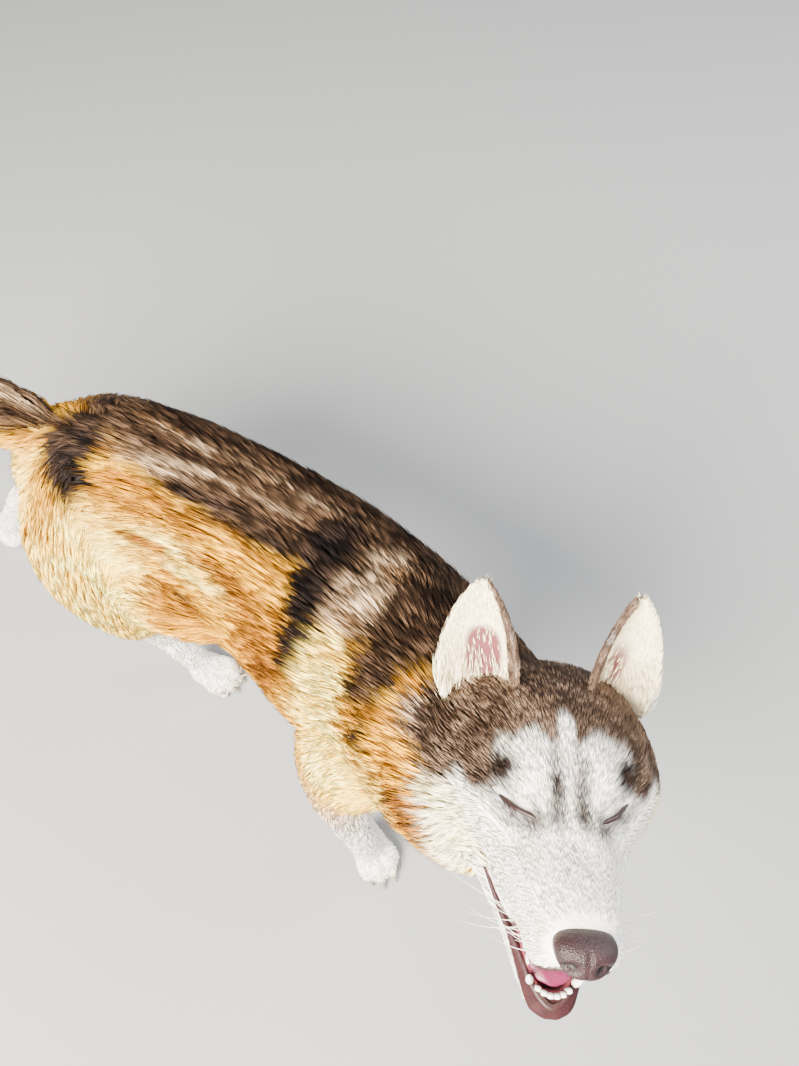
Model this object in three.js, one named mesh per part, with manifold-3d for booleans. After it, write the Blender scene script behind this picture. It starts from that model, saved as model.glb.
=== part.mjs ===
// A life-size standing Siberian husky, closed eyes and open mouth, looking up to its right.
// Millimetres, +X from rump to shoulders, +Y to the dog's left, +Z up, paws on Z = 0.
// Every form is a skin lofted through named cross-sections; neighbours keep a gap of CLEARANCE.
import * as THREE from "three";
import { mergeVertices } from "three/addons/utils/BufferGeometryUtils.js";
import Module from "manifold-3d";

const wasm = await Module();
wasm.setup();

// Driving dimensions of the dog
const WITHERS_HEIGHT = 588;
const CLEARANCE = 0.3;
const HEAD_AT = [367, -121, 672]; // the stop, between the eyes
const HEAD_YAW = -60; // degrees, turned to the dog's right
const HEAD_LIFT = 36;
const HEAD_BANK = -2;
const JAW_HINGE = [-80, 0, -50]; // in the head's frame
const JAW_OPEN = 29;
const MUZZLE_TIP = 106;
const EYE = [-6, 38, -4]; // left eye in the head's frame; the right one mirrors it
const EARS = {
  left: { hand: 1, root: [-114, 55, 6], tip: [-117, 61, 122] },
  right: { hand: -1, root: [-114, -62, 6], tip: [-118, -71, 126] },
};
const EAR_WIDTH = 70;
const PAW_LENGTH = 88;
const PAW_WIDTH = 62;
const PAW_HEIGHT = 40;
const CLAW_LENGTH = 12;

const vector = (p) => new THREE.Vector3(...p);
const degrees = (a) => THREE.MathUtils.degToRad(a);

// Solids
// A closed three.js geometry as a solid that can be joined and cut.
function solidOf(geometry, matrix) {
  const bare = new THREE.BufferGeometry().setAttribute("position", geometry.getAttribute("position").clone());
  if (geometry.index) bare.setIndex(geometry.index);
  if (matrix) bare.applyMatrix4(matrix);
  const merged = mergeVertices(bare, 1e-3);
  const triVerts = new Uint32Array(merged.index.array);
  if (matrix && matrix.determinant() < 0) {
    for (let i = 0; i < triVerts.length; i += 3) {
      [triVerts[i + 1], triVerts[i + 2]] = [triVerts[i + 2], triVerts[i + 1]];
    }
  }
  const vertProperties = merged.attributes.position.array;
  return new wasm.Manifold(new wasm.Mesh({ numProp: 3, vertProperties, triVerts }));
}

function geometryOf(solid) {
  const mesh = solid.getMesh();
  const geometry = new THREE.BufferGeometry();
  geometry.setAttribute("position", new THREE.BufferAttribute(mesh.vertProperties, mesh.numProp));
  geometry.setIndex(new THREE.BufferAttribute(mesh.triVerts, 1));
  return geometry;
}

const join = (solids) => solids.reduce((whole, piece) => whole.add(piece));
const cut = (solid, others) => others.reduce((left, other) => left.subtract(other), solid);

// The largest body of a cut solid, so that no loose scrap stays.
function largest(solid) {
  const bodies = solid.decompose();
  return bodies.reduce((best, body) => (body.volume() > best.volume() ? body : best));
}

// Forms
// A form is a smooth tube through stations, each [x, y, z, half width, rise, drop, squareness, taper].
// Rise and drop are measured along the up hint. Taper narrows the upper half and widens the lower.
function form(stations, upHint = [0, 0, 1]) {
  const curve = (pick) => new THREE.CatmullRomCurve3(stations.map((s) => new THREE.Vector3(...pick(s))));
  const places = curve((s) => s.slice(0, 3));
  const sizes = curve((s) => s.slice(3, 6));
  const shapes = curve((s) => [s[6] ?? 2, s[7] ?? 0, 0]);
  const hint = vector(upHint);
  const frame = (t) => {
    const along = places.getTangent(t);
    const up = hint.clone().addScaledVector(along, -hint.dot(along)).normalize();
    return { along, up, side: up.clone().cross(along) };
  };
  // The point of the skin at a share t of the length and an angle from the side towards up.
  const point = (t, angle, grow = 0) => {
    const { up, side } = frame(t);
    const size = sizes.getPoint(t);
    const shape = shapes.getPoint(t);
    const power = 2 / Math.max(shape.x, 1.2);
    const round = (c) => Math.sign(c) * Math.abs(c) ** power;
    const across = (Math.max(size.x, 1) + grow) * (1 - shape.y * Math.sin(angle)) * round(Math.cos(angle));
    const reach = Math.max(Math.sin(angle) > 0 ? size.y : size.z, 1) + grow;
    return places.getPoint(t).addScaledVector(side, across).addScaledVector(up, reach * round(Math.sin(angle)));
  };
  const outward = (t, angle) => {
    const step = 0.01;
    const early = Math.min(Math.max(t - step, 0), 1 - 2 * step);
    const lengthwise = point(early + 2 * step, angle).sub(point(early, angle));
    const around = point(t, angle + step).sub(point(t, angle - step));
    return around.cross(lengthwise).normalize();
  };
  return { point, outward, frame, places };
}

// The closed mesh of a form. Sculpt moves each of its points.
function loft(shape, rings, sides, grow = 0, sculpt = (p) => p) {
  const positions = [];
  const index = [];
  for (let i = 0; i <= rings; i++) {
    for (let j = 0; j < sides; j++) {
      positions.push(...sculpt(shape.point(i / rings, (2 * Math.PI * j) / sides, grow)).toArray());
    }
  }
  const ring = (i, j) => i * sides + (j % sides);
  for (let i = 0; i < rings; i++) {
    for (let j = 0; j < sides; j++) {
      index.push(ring(i, j), ring(i, j + 1), ring(i + 1, j + 1), ring(i, j), ring(i + 1, j + 1), ring(i + 1, j));
    }
  }
  for (const [i, turn] of [[0, -1], [rings, 1]]) {
    const { along } = shape.frame(i / rings);
    const pole = positions.length / 3;
    positions.push(...shape.places.getPoint(i / rings).addScaledVector(along, turn * (1 + grow)).toArray());
    for (let j = 0; j < sides; j++) {
      index.push(...(turn > 0 ? [pole, ring(i, j), ring(i, j + 1)] : [pole, ring(i, j + 1), ring(i, j)]));
    }
  }
  const geometry = new THREE.BufferGeometry();
  geometry.setAttribute("position", new THREE.Float32BufferAttribute(positions, 3));
  return geometry.setIndex(index);
}

// A soft push on every point near a centre.
const push = (p, [centre, radius, by]) =>
  p.addScaledVector(vector(by), Math.exp(-((p.distanceTo(vector(centre)) / radius) ** 2)));

const sphere = (at, radii, turn = [0, 0, 0], across = 6, down = 5, grow = 0) => {
  const matrix = new THREE.Matrix4().compose(
    vector(at),
    new THREE.Quaternion().setFromEuler(new THREE.Euler(...turn.map(degrees), "ZYX")),
    vector(radii.map((r) => r + grow)),
  );
  return solidOf(new THREE.SphereGeometry(1, across, down), matrix);
};

// Coat locks
// A flat tapered lock: four-sided rings from a sunk root, lifted off the skin and bent back to it.
function lock(root, normal, lie, { length, width, thick, sink, lift, curl = 0 }, grow = 0) {
  const side = normal.clone().cross(lie).normalize();
  const rings = [
    { run: -0.12, rise: -sink, wide: 0.8, deep: 1 },
    { run: 0.3, rise: lift * 0.7, wide: 1, deep: 1 },
    { run: 0.7, rise: lift, wide: 0.7, deep: 0.65 },
  ];
  const positions = [];
  for (const { run, rise, wide, deep } of rings) {
    const at = root.clone().addScaledVector(lie, run * length).addScaledVector(normal, rise);
    at.addScaledVector(side, curl * run * run * length);
    for (const [across, over] of [[1, 0], [0, 1], [-1, 0], [0, -1]]) {
      const corner = at.clone().addScaledVector(side, across * ((wide * width) / 2 + grow));
      positions.push(...corner.addScaledVector(normal, over * ((deep * thick) / 2 + grow)).toArray());
    }
  }
  const tip = root.clone().addScaledVector(lie, length + grow).addScaledVector(normal, lift * 0.8);
  positions.push(...tip.addScaledVector(side, curl * length).toArray());
  const index = [0, 2, 1, 0, 3, 2];
  for (let ring = 0; ring < 2; ring++) {
    for (let j = 0; j < 4; j++) {
      const [a, b] = [ring * 4 + j, ring * 4 + ((j + 1) % 4)];
      index.push(a, b, b + 4, a, b + 4, a + 4);
    }
  }
  for (let j = 0; j < 4; j++) {
    index.push(8 + j, 8 + ((j + 1) % 4), 12);
  }
  const geometry = new THREE.BufferGeometry();
  geometry.setAttribute("position", new THREE.Float32BufferAttribute(positions, 3));
  return solidOf(geometry.setIndex(index));
}

// A seeded draw between -1 and 1, the same on every run.
function draws(seed) {
  let state = seed;
  return () => {
    state = (state * 1103515245 + 12345) % 2147483648;
    return (state / 1073741824 - 1) * 0.999;
  };
}

// Locks in staggered rows over a form. Rows run along it, places run round it.
function coat(shape, { rows, places, from, to, lieTowards, down = 0, size, seed, skip = () => false }, grow = 0) {
  const draw = draws(seed);
  const locks = [];
  for (let row = 0; row < rows; row++) {
    for (let place = 0; place < places; place++) {
      const t = from + ((to - from) * (row + 0.5 + 0.2 * draw())) / rows;
      const angle = (2 * Math.PI * (place + (row % 2) * 0.5 + 0.2 * draw())) / places;
      const scale = 1 + 0.14 * draw();
      const curl = 0.14 * draw();
      if (skip(t, angle)) continue;
      const normal = shape.outward(t, angle);
      const lie = shape.frame(t).along.multiplyScalar(lieTowards).add(new THREE.Vector3(0, 0, -down));
      lie.addScaledVector(normal, -lie.dot(normal)).normalize();
      const own = size(t, angle);
      locks.push(lock(shape.point(t, angle), normal, lie, { ...own, length: own.length * scale, curl }, grow));
    }
  }
  return locks;
}

// Trunk: rump to breast, bent to the dog's right at both ends
const TRUNK = form([
  [-386, -34, 434, 10, 12, 12, 2.0, 0],
  [-377, -32, 436, 44, 42, 54, 2.1, 0.05],
  [-348, -24, 440, 80, 70, 92, 2.2, 0.1],
  [-290, -4, 442, 100, 90, 104, 2.3, 0.14],
  [-215, 10, 440, 108, 100, 102, 2.3, 0.12],
  [-140, 18, 437, 108, 103, 98, 2.3, 0.06],
  [-60, 18, 429, 115, 112, 112, 2.3, 0.04],
  [20, 10, 422, 124, 126, 130, 2.3, 0.04],
  [95, -6, 422, 128, 142, 144, 2.3, 0.08],
  [160, -24, 428, 126, WITHERS_HEIGHT - 430, 150, 2.3, 0.1],
  [215, -44, 437, 116, 138, 136, 2.3, 0.08],
  [262, -66, 444, 98, 108, 110, 2.2, 0.04],
  [296, -84, 450, 62, 70, 72, 2.1, 0],
  [310, -92, 452, 12, 14, 14, 2.0, 0],
]);
const trunkSolid = (grow = 0) => solidOf(loft(TRUNK, 24, 20, grow));

// Neck: thick and arched, with the ruff on it
const NECK = form([
  [128, -8, 445, 60, 60, 60, 2.0],
  [172, -30, 482, 92, 88, 104, 2.1],
  [222, -54, 512, 100, 84, 124, 2.2],
  [266, -74, 538, 100, 76, 126, 2.2],
  [300, -88, 562, 94, 66, 116, 2.2],
  [326, -100, 584, 74, 48, 90, 2.1],
  [340, -106, 594, 24, 18, 28, 2.0],
]);

// Head, in its own frame: x along the muzzle, y to the left, z up, the stop at the origin
const headPlace = new THREE.Matrix4().compose(
  vector(HEAD_AT),
  new THREE.Quaternion().setFromEuler(
    new THREE.Euler(degrees(HEAD_BANK), degrees(-HEAD_LIFT), degrees(HEAD_YAW), "ZYX"),
  ),
  new THREE.Vector3(1, 1, 1),
);
const HEAD = form([
  [-168, 0, -28, 10, 10, 10, 2.0, 0],
  [-160, 0, -27, 50, 42, 46, 2.1, 0.02],
  [-138, 0, -25, 78, 64, 66, 2.2, 0.06],
  [-106, 0, -23, 90, 70, 74, 2.2, 0.1],
  [-76, 0, -22, 91, 69, 74, 2.2, 0.14],
  [-48, 0, -21, 83, 62, 68, 2.2, 0.16],
  [-22, 0, -21, 69, 49, 56, 2.2, 0.2],
  [0, 0, -23, 57, 36, 43, 2.3, 0.22],
  [20, 0, -27, 50, 29, 36, 2.5, 0.22],
  [42, 0, -30, 45, 26, 32, 2.6, 0.2],
  [66, 0, -32, 39, 24, 28, 2.6, 0.15],
  [84, 0, -33, 31, 21, 23, 2.6, 0.06],
  [96, 0, -34, 24, 15, 19, 2.4, 0.04],
  [MUZZLE_TIP - 4, 0, -35, 14, 8, 12, 2.2, 0],
  [MUZZLE_TIP - 2, 0, -35, 6, 3, 4, 2.0, 0],
]);
const both = (list) => list.flatMap(([[x, y, z], radius, [a, b, c]]) => [
  [[x, y, z], radius, [a, b, c]],
  [[x, -y, z], radius, [a, -b, c]],
]);
const HEAD_MODELLING = [
  [[-26, 0, 33], 15, [0, 0, -4]],
  [[6, 0, 12], 14, [0, 0, -4]],
  ...both([
    [EYE, 17, [-3, -9, -6]],
    [[-20, 27, 28], 14, [2, 2, 5]],
    [[22, 44, -16], 17, [0, -5, -1]],
    [[88, 30, -42], 14, [2, 4, -2]],
    [[-62, 84, -36], 30, [0, 6, -3]],
  ]),
];
const sculptHead = (p) => HEAD_MODELLING.reduce(push, p);
const headForm = (grow = 0) => solidOf(loft(HEAD, 28, 26, grow, sculptHead));

const CHEEK_LOCKS = {
  rows: 2,
  places: 12,
  from: 0.24,
  to: 0.5,
  lieTowards: -1,
  seed: 11,
  size: () => ({ length: 54, width: 32, thick: 8, sink: 6, lift: 5 }),
  skip: (t, angle) => Math.sin(angle) > 0.1 || Math.abs(Math.cos(angle)) < 0.25,
};

// Upper teeth and lower teeth are cones, set in a loop round each jaw
function tooth(at, height, radius, tilt) {
  const cone = new THREE.ConeGeometry(radius, height, 5);
  const matrix = new THREE.Matrix4().compose(
    vector(at),
    new THREE.Quaternion().setFromEuler(new THREE.Euler(degrees(tilt[0]), degrees(tilt[1]), 0)),
    new THREE.Vector3(1, 1, 1),
  );
  return solidOf(cone, matrix);
}

function teethRow(front, halfWidth, z, points, places) {
  const teeth = [];
  for (const y of places) {
    const at = [front - 14 * y * y, y * halfWidth, z + points * 3];
    teeth.push(tooth(at, 10, 2.9, [points * 90, 0]));
  }
  for (const side of [-1, 1]) {
    teeth.push(tooth([front - 10, side * halfWidth * 0.86, z + points * 6], 20, 4.2, [points * 90, 0]));
  }
  return teeth;
}

// The roof of the mouth, hollowed between the upper lips
const PALATE = form([
  [-30, 0, -74, 16, 6, 30, 2.2],
  [0, 0, -68, 32, 14, 30, 2.4],
  [40, 0, -62, 33, 16, 30, 2.6],
  [75, 0, -59, 28, 14, 30, 2.6],
  [92, 0, -57, 18, 8, 30, 2.4],
  [97, 0, -57, 4, 2, 20, 2.0],
]);

function headSolid(grow = 0) {
  const shell = join([headForm(grow), ...coat(HEAD, CHEEK_LOCKS, grow)]);
  if (grow) return shell;
  const hollowed = shell.subtract(solidOf(loft(PALATE, 7, 14)));
  return join([hollowed, ...teethRow(84, 22, -54, -1, [])]);
}

// Lower jaw, in its own frame: x forward from the hinge
const jawPlace = headPlace.clone().multiply(
  new THREE.Matrix4().compose(
    vector(JAW_HINGE),
    new THREE.Quaternion().setFromEuler(new THREE.Euler(0, degrees(JAW_OPEN), 0)),
    new THREE.Vector3(1, 1, 1),
  ),
);
const JAW = form([
  [2, 0, -16, 30, 14, 20, 2.0],
  [18, 0, -13, 62, 36, 42, 2.2],
  [48, 0, -12, 62, 32, 42, 2.3],
  [78, 0, -13, 51, 24, 35, 2.4],
  [108, 0, -13, 39, 17, 27, 2.4],
  [135, 0, -11, 31, 13, 20, 2.4],
  [155, 0, -9, 25, 10, 15, 2.4],
  [168, 0, -8, 19, 8, 12, 2.3],
  [175, 0, -7, 8, 4, 6, 2.0],
]);
const JAW_TROUGH = form([
  [46, 0, 10, 22, 40, 18, 2.2],
  [72, 0, 8, 36, 40, 16, 2.4],
  [108, 0, 5, 28, 30, 12, 2.4],
  [138, 0, 4, 21, 26, 9, 2.4],
  [157, 0, 4, 13, 22, 6, 2.2],
  [161, 0, 4, 3, 10, 3, 2.0],
]);
const TONGUE = form([
  [40, 0, -2, 17, 6, 5, 2.2],
  [75, 0, 0, 29, 8, 7, 2.5],
  [112, 0, 0, 23, 6, 5, 2.5],
  [138, 0, 1, 17, 5, 4, 2.4],
  [150, 0, 2, 9, 3, 3, 2.2],
  [153, 0, 2, 2, 1, 1, 2.0],
]);

// Ear: a curved leaf with a cup on its front, the same grid on both faces
function earSolid({ hand, root: base, tip }, grow = 0) {
  const root = vector(base);
  const rise = vector(tip).sub(root);
  const facing = new THREE.Vector3(0.86, hand * 0.42, 0.1);
  facing.addScaledVector(rise, -facing.dot(rise) / rise.lengthSq()).normalize();
  const side = rise.clone().normalize().cross(facing);
  const [steps, across] = [7, 6];
  const positions = [];
  for (const face of [1, -1]) {
    for (let i = 0; i <= steps; i++) {
      const v = i / steps;
      const half = 3 + EAR_WIDTH * (v + 0.12) ** 0.5 * (1 - v) ** 0.75 * 0.93;
      const cup = 25 * (1 - v) ** 0.7 + 3;
      const thick = 7 - 4 * v + 2 * grow;
      for (let j = 0; j <= across; j++) {
        const u = (2 * j) / across - 1;
        const run = v * (1 - 0.04 * u * u) + ((2 * v - 1) * grow) / rise.length();
        const at = root.clone().addScaledVector(rise, run);
        const over = u * (half + grow);
        at.addScaledVector(side, over).addScaledVector(facing, cup * ((over / half) ** 2 - 0.6));
        positions.push(...at.addScaledVector(facing, (face * thick) / 2).toArray());
      }
    }
  }
  const at = (face, i, j) => face * (steps + 1) * (across + 1) + i * (across + 1) + j;
  const index = [];
  const quad = (a, b, c, d) => index.push(a, c, b, a, d, c);
  for (let i = 0; i < steps; i++) {
    for (let j = 0; j < across; j++) {
      quad(at(0, i, j), at(0, i + 1, j), at(0, i + 1, j + 1), at(0, i, j + 1));
      index.push(at(1, i, j), at(1, i + 1, j), at(1, i + 1, j + 1));
      index.push(at(1, i, j), at(1, i + 1, j + 1), at(1, i, j + 1));
    }
    quad(at(0, i, 0), at(1, i, 0), at(1, i + 1, 0), at(0, i + 1, 0));
    quad(at(0, i, across), at(0, i + 1, across), at(1, i + 1, across), at(1, i, across));
  }
  for (let j = 0; j < across; j++) {
    quad(at(0, 0, j), at(0, 0, j + 1), at(1, 0, j + 1), at(1, 0, j));
    quad(at(0, steps, j), at(1, steps, j), at(1, steps, j + 1), at(0, steps, j + 1));
  }
  const geometry = new THREE.BufferGeometry();
  geometry.setAttribute("position", new THREE.Float32BufferAttribute(positions, 3));
  return solidOf(geometry.setIndex(index));
}

// Closed lids: an almond swelling with the slit cut across it
function lidSolid(hand) {
  const turn = [hand * -14, -10, hand * 132];
  const at = [EYE[0] - 1, hand * (EYE[1] - 2), EYE[2] - 2];
  const ball = sphere(at, [21, 14, 14], turn, 10, 6);
  const front = [EYE[0] + 4, hand * (EYE[1] + 7), EYE[2] + 3];
  const slit = sphere(front, [22, 9, 1.0], [hand * -30, -14, hand * 132], 8, 4);
  return ball.subtract(slit);
}

// Nose leather with its nostrils and the groove between them
const NOSE = { at: [MUZZLE_TIP - 7, 0, -30], radii: [16, 20.5, 17], turn: [0, -18, 0] };

function noseSolid() {
  const leather = sphere(NOSE.at, NOSE.radii, NOSE.turn, 12, 8);
  const hollows = [-1, 1].flatMap((hand) => [
    sphere([MUZZLE_TIP + 6, hand * 9, -28], [6, 4.2, 3.6], [0, 0, hand * 25]),
    sphere([MUZZLE_TIP, hand * 17, -31], [7, 4, 1.8], [hand * 20, 0, hand * 50]),
  ]);
  return cut(leather, [...hollows, sphere([MUZZLE_TIP + 7, 0, -34], [4, 1.1, 12])]);
}

// Legs: stations run from the body down; rise is forwards, drop is backwards
const forwardOf = (yaw) => [Math.cos(degrees(yaw)), Math.sin(degrees(yaw)), 0];
const LEGS = {
  foreleg_right: {
    yaw: -28,
    paw: [206, -147, -26],
    stations: [
      [176, -64, 516, 20, 34, 34, 2.0],
      [170, -90, 470, 36, 54, 54, 2.2],
      [160, -108, 420, 46, 68, 66, 2.3],
      [150, -121, 370, 48, 70, 68, 2.3],
      [144, -131, 325, 43, 56, 60, 2.2],
      [150, -142, 285, 36, 42, 46, 2.1],
      [171, -151, 235, 30, 31, 34, 2.1],
      [186, -154, 170, 26, 26, 29, 2.1],
      [193, -151, 118, 27, 28, 26, 2.1],
      [196, -148, 78, 23, 23, 21, 2.1],
      [198, -147, 44, 24, 24, 22, 2.1],
      [200, -147, 26, 18, 16, 16, 2.0],
    ],
  },
  foreleg_left: {
    yaw: -24,
    paw: [254, 52, -18],
    stations: [
      [204, -4, 516, 20, 34, 34, 2.0],
      [206, 24, 470, 36, 54, 54, 2.2],
      [206, 42, 420, 46, 68, 66, 2.3],
      [206, 55, 370, 48, 70, 68, 2.3],
      [204, 64, 325, 43, 56, 60, 2.2],
      [205, 68, 285, 36, 42, 46, 2.1],
      [213, 66, 235, 30, 31, 34, 2.1],
      [226, 60, 170, 26, 26, 29, 2.1],
      [236, 56, 118, 27, 28, 26, 2.1],
      [240, 54, 78, 23, 23, 21, 2.1],
      [245, 54, 44, 24, 24, 22, 2.1],
      [247, 54, 26, 18, 16, 16, 2.0],
    ],
  },
  hindleg_right: {
    yaw: 12,
    paw: [-164, -57, 8],
    stations: [
      [-286, -38, 510, 22, 36, 36, 2.0],
      [-276, -60, 462, 46, 80, 70, 2.2],
      [-258, -80, 405, 60, 100, 84, 2.3],
      [-238, -91, 352, 60, 96, 84, 2.3],
      [-222, -97, 302, 50, 70, 68, 2.3],
      [-220, -95, 258, 37, 47, 49, 2.2],
      [-232, -87, 208, 29, 33, 37, 2.1],
      [-240, -78, 155, 25, 25, 34, 2.1],
      [-224, -69, 104, 22, 22, 23, 2.1],
      [-197, -61, 54, 23, 22, 21, 2.1],
      [-183, -58, 28, 18, 16, 16, 2.0],
    ],
  },
  hindleg_left: {
    yaw: 24,
    paw: [-632, -46, 22],
    stations: [
      [-300, 22, 510, 22, 36, 36, 2.0],
      [-304, 40, 462, 46, 80, 66, 2.2],
      [-314, 54, 405, 60, 102, 76, 2.3],
      [-330, 62, 352, 60, 94, 74, 2.3],
      [-352, 62, 302, 50, 68, 62, 2.3],
      [-388, 52, 260, 38, 48, 48, 2.2],
      [-440, 33, 218, 30, 35, 36, 2.1],
      [-498, 11, 182, 26, 28, 30, 2.1],
      [-550, -10, 146, 25, 26, 32, 2.1],
      [-586, -27, 98, 22, 22, 22, 2.1],
      [-610, -38, 52, 23, 22, 21, 2.1],
      [-619, -42, 28, 18, 16, 16, 2.0],
    ],
  },
};
const legForm = ({ yaw, stations }) => form(stations, forwardOf(yaw));

const BREECHES = {
  rows: 4,
  places: 7,
  from: 0.16,
  to: 0.52,
  lieTowards: 1,
  down: 0.3,
  seed: 23,
  size: () => ({ length: 72, width: 34, thick: 8, sink: 7, lift: 14 }),
  skip: (t, angle) => Math.sin(angle) > -0.2,
};

// Paw, in its own frame: x forward, floor at z = 0, four arched toes with claws
function pawSolid(grow = 0) {
  const [length, width, height] = [PAW_LENGTH / 88, PAW_WIDTH / 62, PAW_HEIGHT / 40];
  const toes = [[25, 9], [25, -9], [12, 21], [12, -21]];
  const palm = sphere([-9 * length, 0, 19 * height], [34, 29 * width, 23 * height], [0, 8, 0], 8, 6, grow);
  const pieces = [palm];
  for (const [x, y] of toes) {
    const spread = Math.sign(y) * (Math.abs(y) > 15 ? 9 : 2);
    const at = [x * length, y * width, 14 * height];
    pieces.push(sphere(at, [23, 12, 17], [0, 12, spread], 6, 4, grow));
    const claw = new THREE.ConeGeometry(3.4 + grow, CLAW_LENGTH, 4);
    const place = new THREE.Matrix4().compose(
      vector([(x + 20) * length, (y + Math.sign(y) * 1.5) * width, 8]),
      new THREE.Quaternion().setFromEuler(new THREE.Euler(0, degrees(128), 0)),
      new THREE.Vector3(1, 1, 1),
    );
    pieces.push(solidOf(claw, new THREE.Matrix4().makeRotationX(Math.PI / 2).premultiply(place)));
  }
  return join(pieces).trimByPlane([0, 0, 1], 0);
}
const pawPlace = ([x, y, yaw]) => new THREE.Matrix4().makeRotationZ(degrees(yaw)).setPosition(x, y, 0);

// Tail: a brush carried level from the croup, then trailing
const TAIL = form([
  [-322, -10, 484, 18, 18, 18, 2.0],
  [-352, -18, 495, 32, 32, 34, 2.0],
  [-400, -34, 500, 38, 36, 40, 2.0],
  [-450, -50, 494, 41, 39, 43, 2.0],
  [-500, -66, 472, 42, 40, 44, 2.0],
  [-546, -80, 434, 40, 38, 42, 2.0],
  [-582, -90, 388, 34, 33, 36, 2.0],
  [-604, -96, 340, 25, 25, 27, 2.0],
  [-616, -99, 300, 8, 8, 8, 2.0],
]);
const TAIL_LOCKS = {
  rows: 6,
  places: 5,
  from: 0.08,
  to: 0.96,
  lieTowards: 1,
  seed: 5,
  size: (t) => ({ length: 100 - 22 * t, width: 48 - 12 * t, thick: 10, sink: 9, lift: 20 - 4 * t }),
};

const RUFF_LOCKS = {
  rows: 4,
  places: 10,
  from: 0.3,
  to: 0.86,
  lieTowards: -1,
  down: 0.35,
  seed: 7,
  size: () => ({ length: 88, width: 46, thick: 9, sink: 8, lift: 11 }),
};

// Put together
const dog = new THREE.Group();
dog.name = "husky";

const finish = (color, roughness) => new THREE.MeshStandardMaterial({ color, roughness, metalness: 0 });
const COATS = {
  back: finish(0x5a4436, 0.9),
  golden: finish(0xc9924a, 0.9),
  cream: finish(0xf0e4cc, 0.9),
  leather: finish(0x4b2a28, 0.45),
  tongue: finish(0xa8485e, 0.4),
};

function add(name, solid, material, group = dog) {
  const mesh = new THREE.Mesh(geometryOf(largest(solid)), material);
  mesh.name = name;
  group.add(mesh);
}

const gap = CLEARANCE;
const trunk = trunkSolid();
const trunkPlusGap = trunkSolid(gap);
const headPlusGap = headSolid(gap);
const headInDog = headPlusGap.transform(headPlace.toArray());

add("torso", trunk, COATS.golden);

const neck = join([solidOf(loft(NECK, 12, 20)), ...coat(NECK, RUFF_LOCKS)]);
const neckPlusGap = join([solidOf(loft(NECK, 12, 20, gap)), ...coat(NECK, RUFF_LOCKS, gap)]);
const jawPlusGap = solidOf(loft(JAW, 12, 14, gap)).transform(jawPlace.toArray());
const earsPlusGap = Object.values(EARS).map((ear) => earSolid(ear, 2 * gap).transform(headPlace.toArray()));
add("neck", cut(neck, [trunkPlusGap, headInDog, jawPlusGap, ...earsPlusGap]), COATS.back);

const headGroup = new THREE.Group();
headPlace.decompose(headGroup.position, headGroup.quaternion, headGroup.scale);
dog.add(headGroup);
const nose = noseSolid();
const nosePlusGap = sphere(NOSE.at, NOSE.radii, NOSE.turn, 12, 8, gap);
const jawInHead = solidOf(loft(JAW, 12, 14, gap)).transform(
  headPlace.clone().invert().multiply(jawPlace).toArray(),
);
add("head", cut(headSolid(), [nosePlusGap, jawInHead]), COATS.cream, headGroup);
add("nose", nose, COATS.leather, headGroup);
for (const [side, ear] of Object.entries(EARS)) {
  add("ear_" + side, cut(earSolid(ear), [headPlusGap]), COATS.back, headGroup);
  add("eyelids_" + side, cut(lidSolid(ear.hand), [headPlusGap]), COATS.cream, headGroup);
}

const jawGroup = new THREE.Group();
jawPlace.decompose(jawGroup.position, jawGroup.quaternion, jawGroup.scale);
dog.add(jawGroup);
const trough = solidOf(loft(JAW_TROUGH, 9, 12));
const jaw = join([solidOf(loft(JAW, 12, 14)).subtract(trough), ...teethRow(158, 19, -3, 1, [-0.55, -0.33, -0.11, 0.11, 0.33, 0.55])]);
add("lower_jaw", jaw, COATS.cream, jawGroup);
const headInJaw = jawPlace.clone().invert().multiply(headPlace).toArray();
const mouthRoof = headForm(gap).subtract(solidOf(loft(PALATE, 7, 14, -gap))).transform(headInJaw);
const jawRoom = solidOf(loft(JAW, 12, 14, gap)).subtract(solidOf(loft(JAW_TROUGH, 9, 12, -gap)));
add("tongue", cut(solidOf(loft(TONGUE, 8, 10)), [mouthRoof, jawRoom]), COATS.tongue, jawGroup);

for (const [name, leg] of Object.entries(LEGS)) {
  const shape = legForm(leg);
  const locks = name.startsWith("hind") ? coat(shape, BREECHES) : [];
  const whole = join([solidOf(loft(shape, 16, 13)), ...locks]);
  const paw = pawSolid();
  const pawInDog = pawSolid(gap).transform(pawPlace(leg.paw).toArray());
  add(name, cut(whole, [trunkPlusGap, neckPlusGap, pawInDog]), COATS.golden);
  const pawGroup = new THREE.Group();
  pawPlace(leg.paw).decompose(pawGroup.position, pawGroup.quaternion, pawGroup.scale);
  dog.add(pawGroup);
  add(name.replace("leg", "paw"), paw, COATS.cream, pawGroup);
}

const tail = join([solidOf(loft(TAIL, 13, 10)), ...coat(TAIL, TAIL_LOCKS)]);
add("tail", cut(tail, [trunkPlusGap]), COATS.back);

// The origin is under the middle of the dog's box, on the floor.
dog.updateMatrixWorld(true);
const box = new THREE.Box3().setFromObject(dog, true);
const middle = box.getCenter(new THREE.Vector3());
dog.position.set(-middle.x, -middle.y, -box.min.z);

export default dog;
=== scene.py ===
from math import cos, radians, sin

import bmesh
import bpy
import numpy as np
from mathutils import Matrix, Vector, noise
from mathutils.bvhtree import BVHTree


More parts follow.
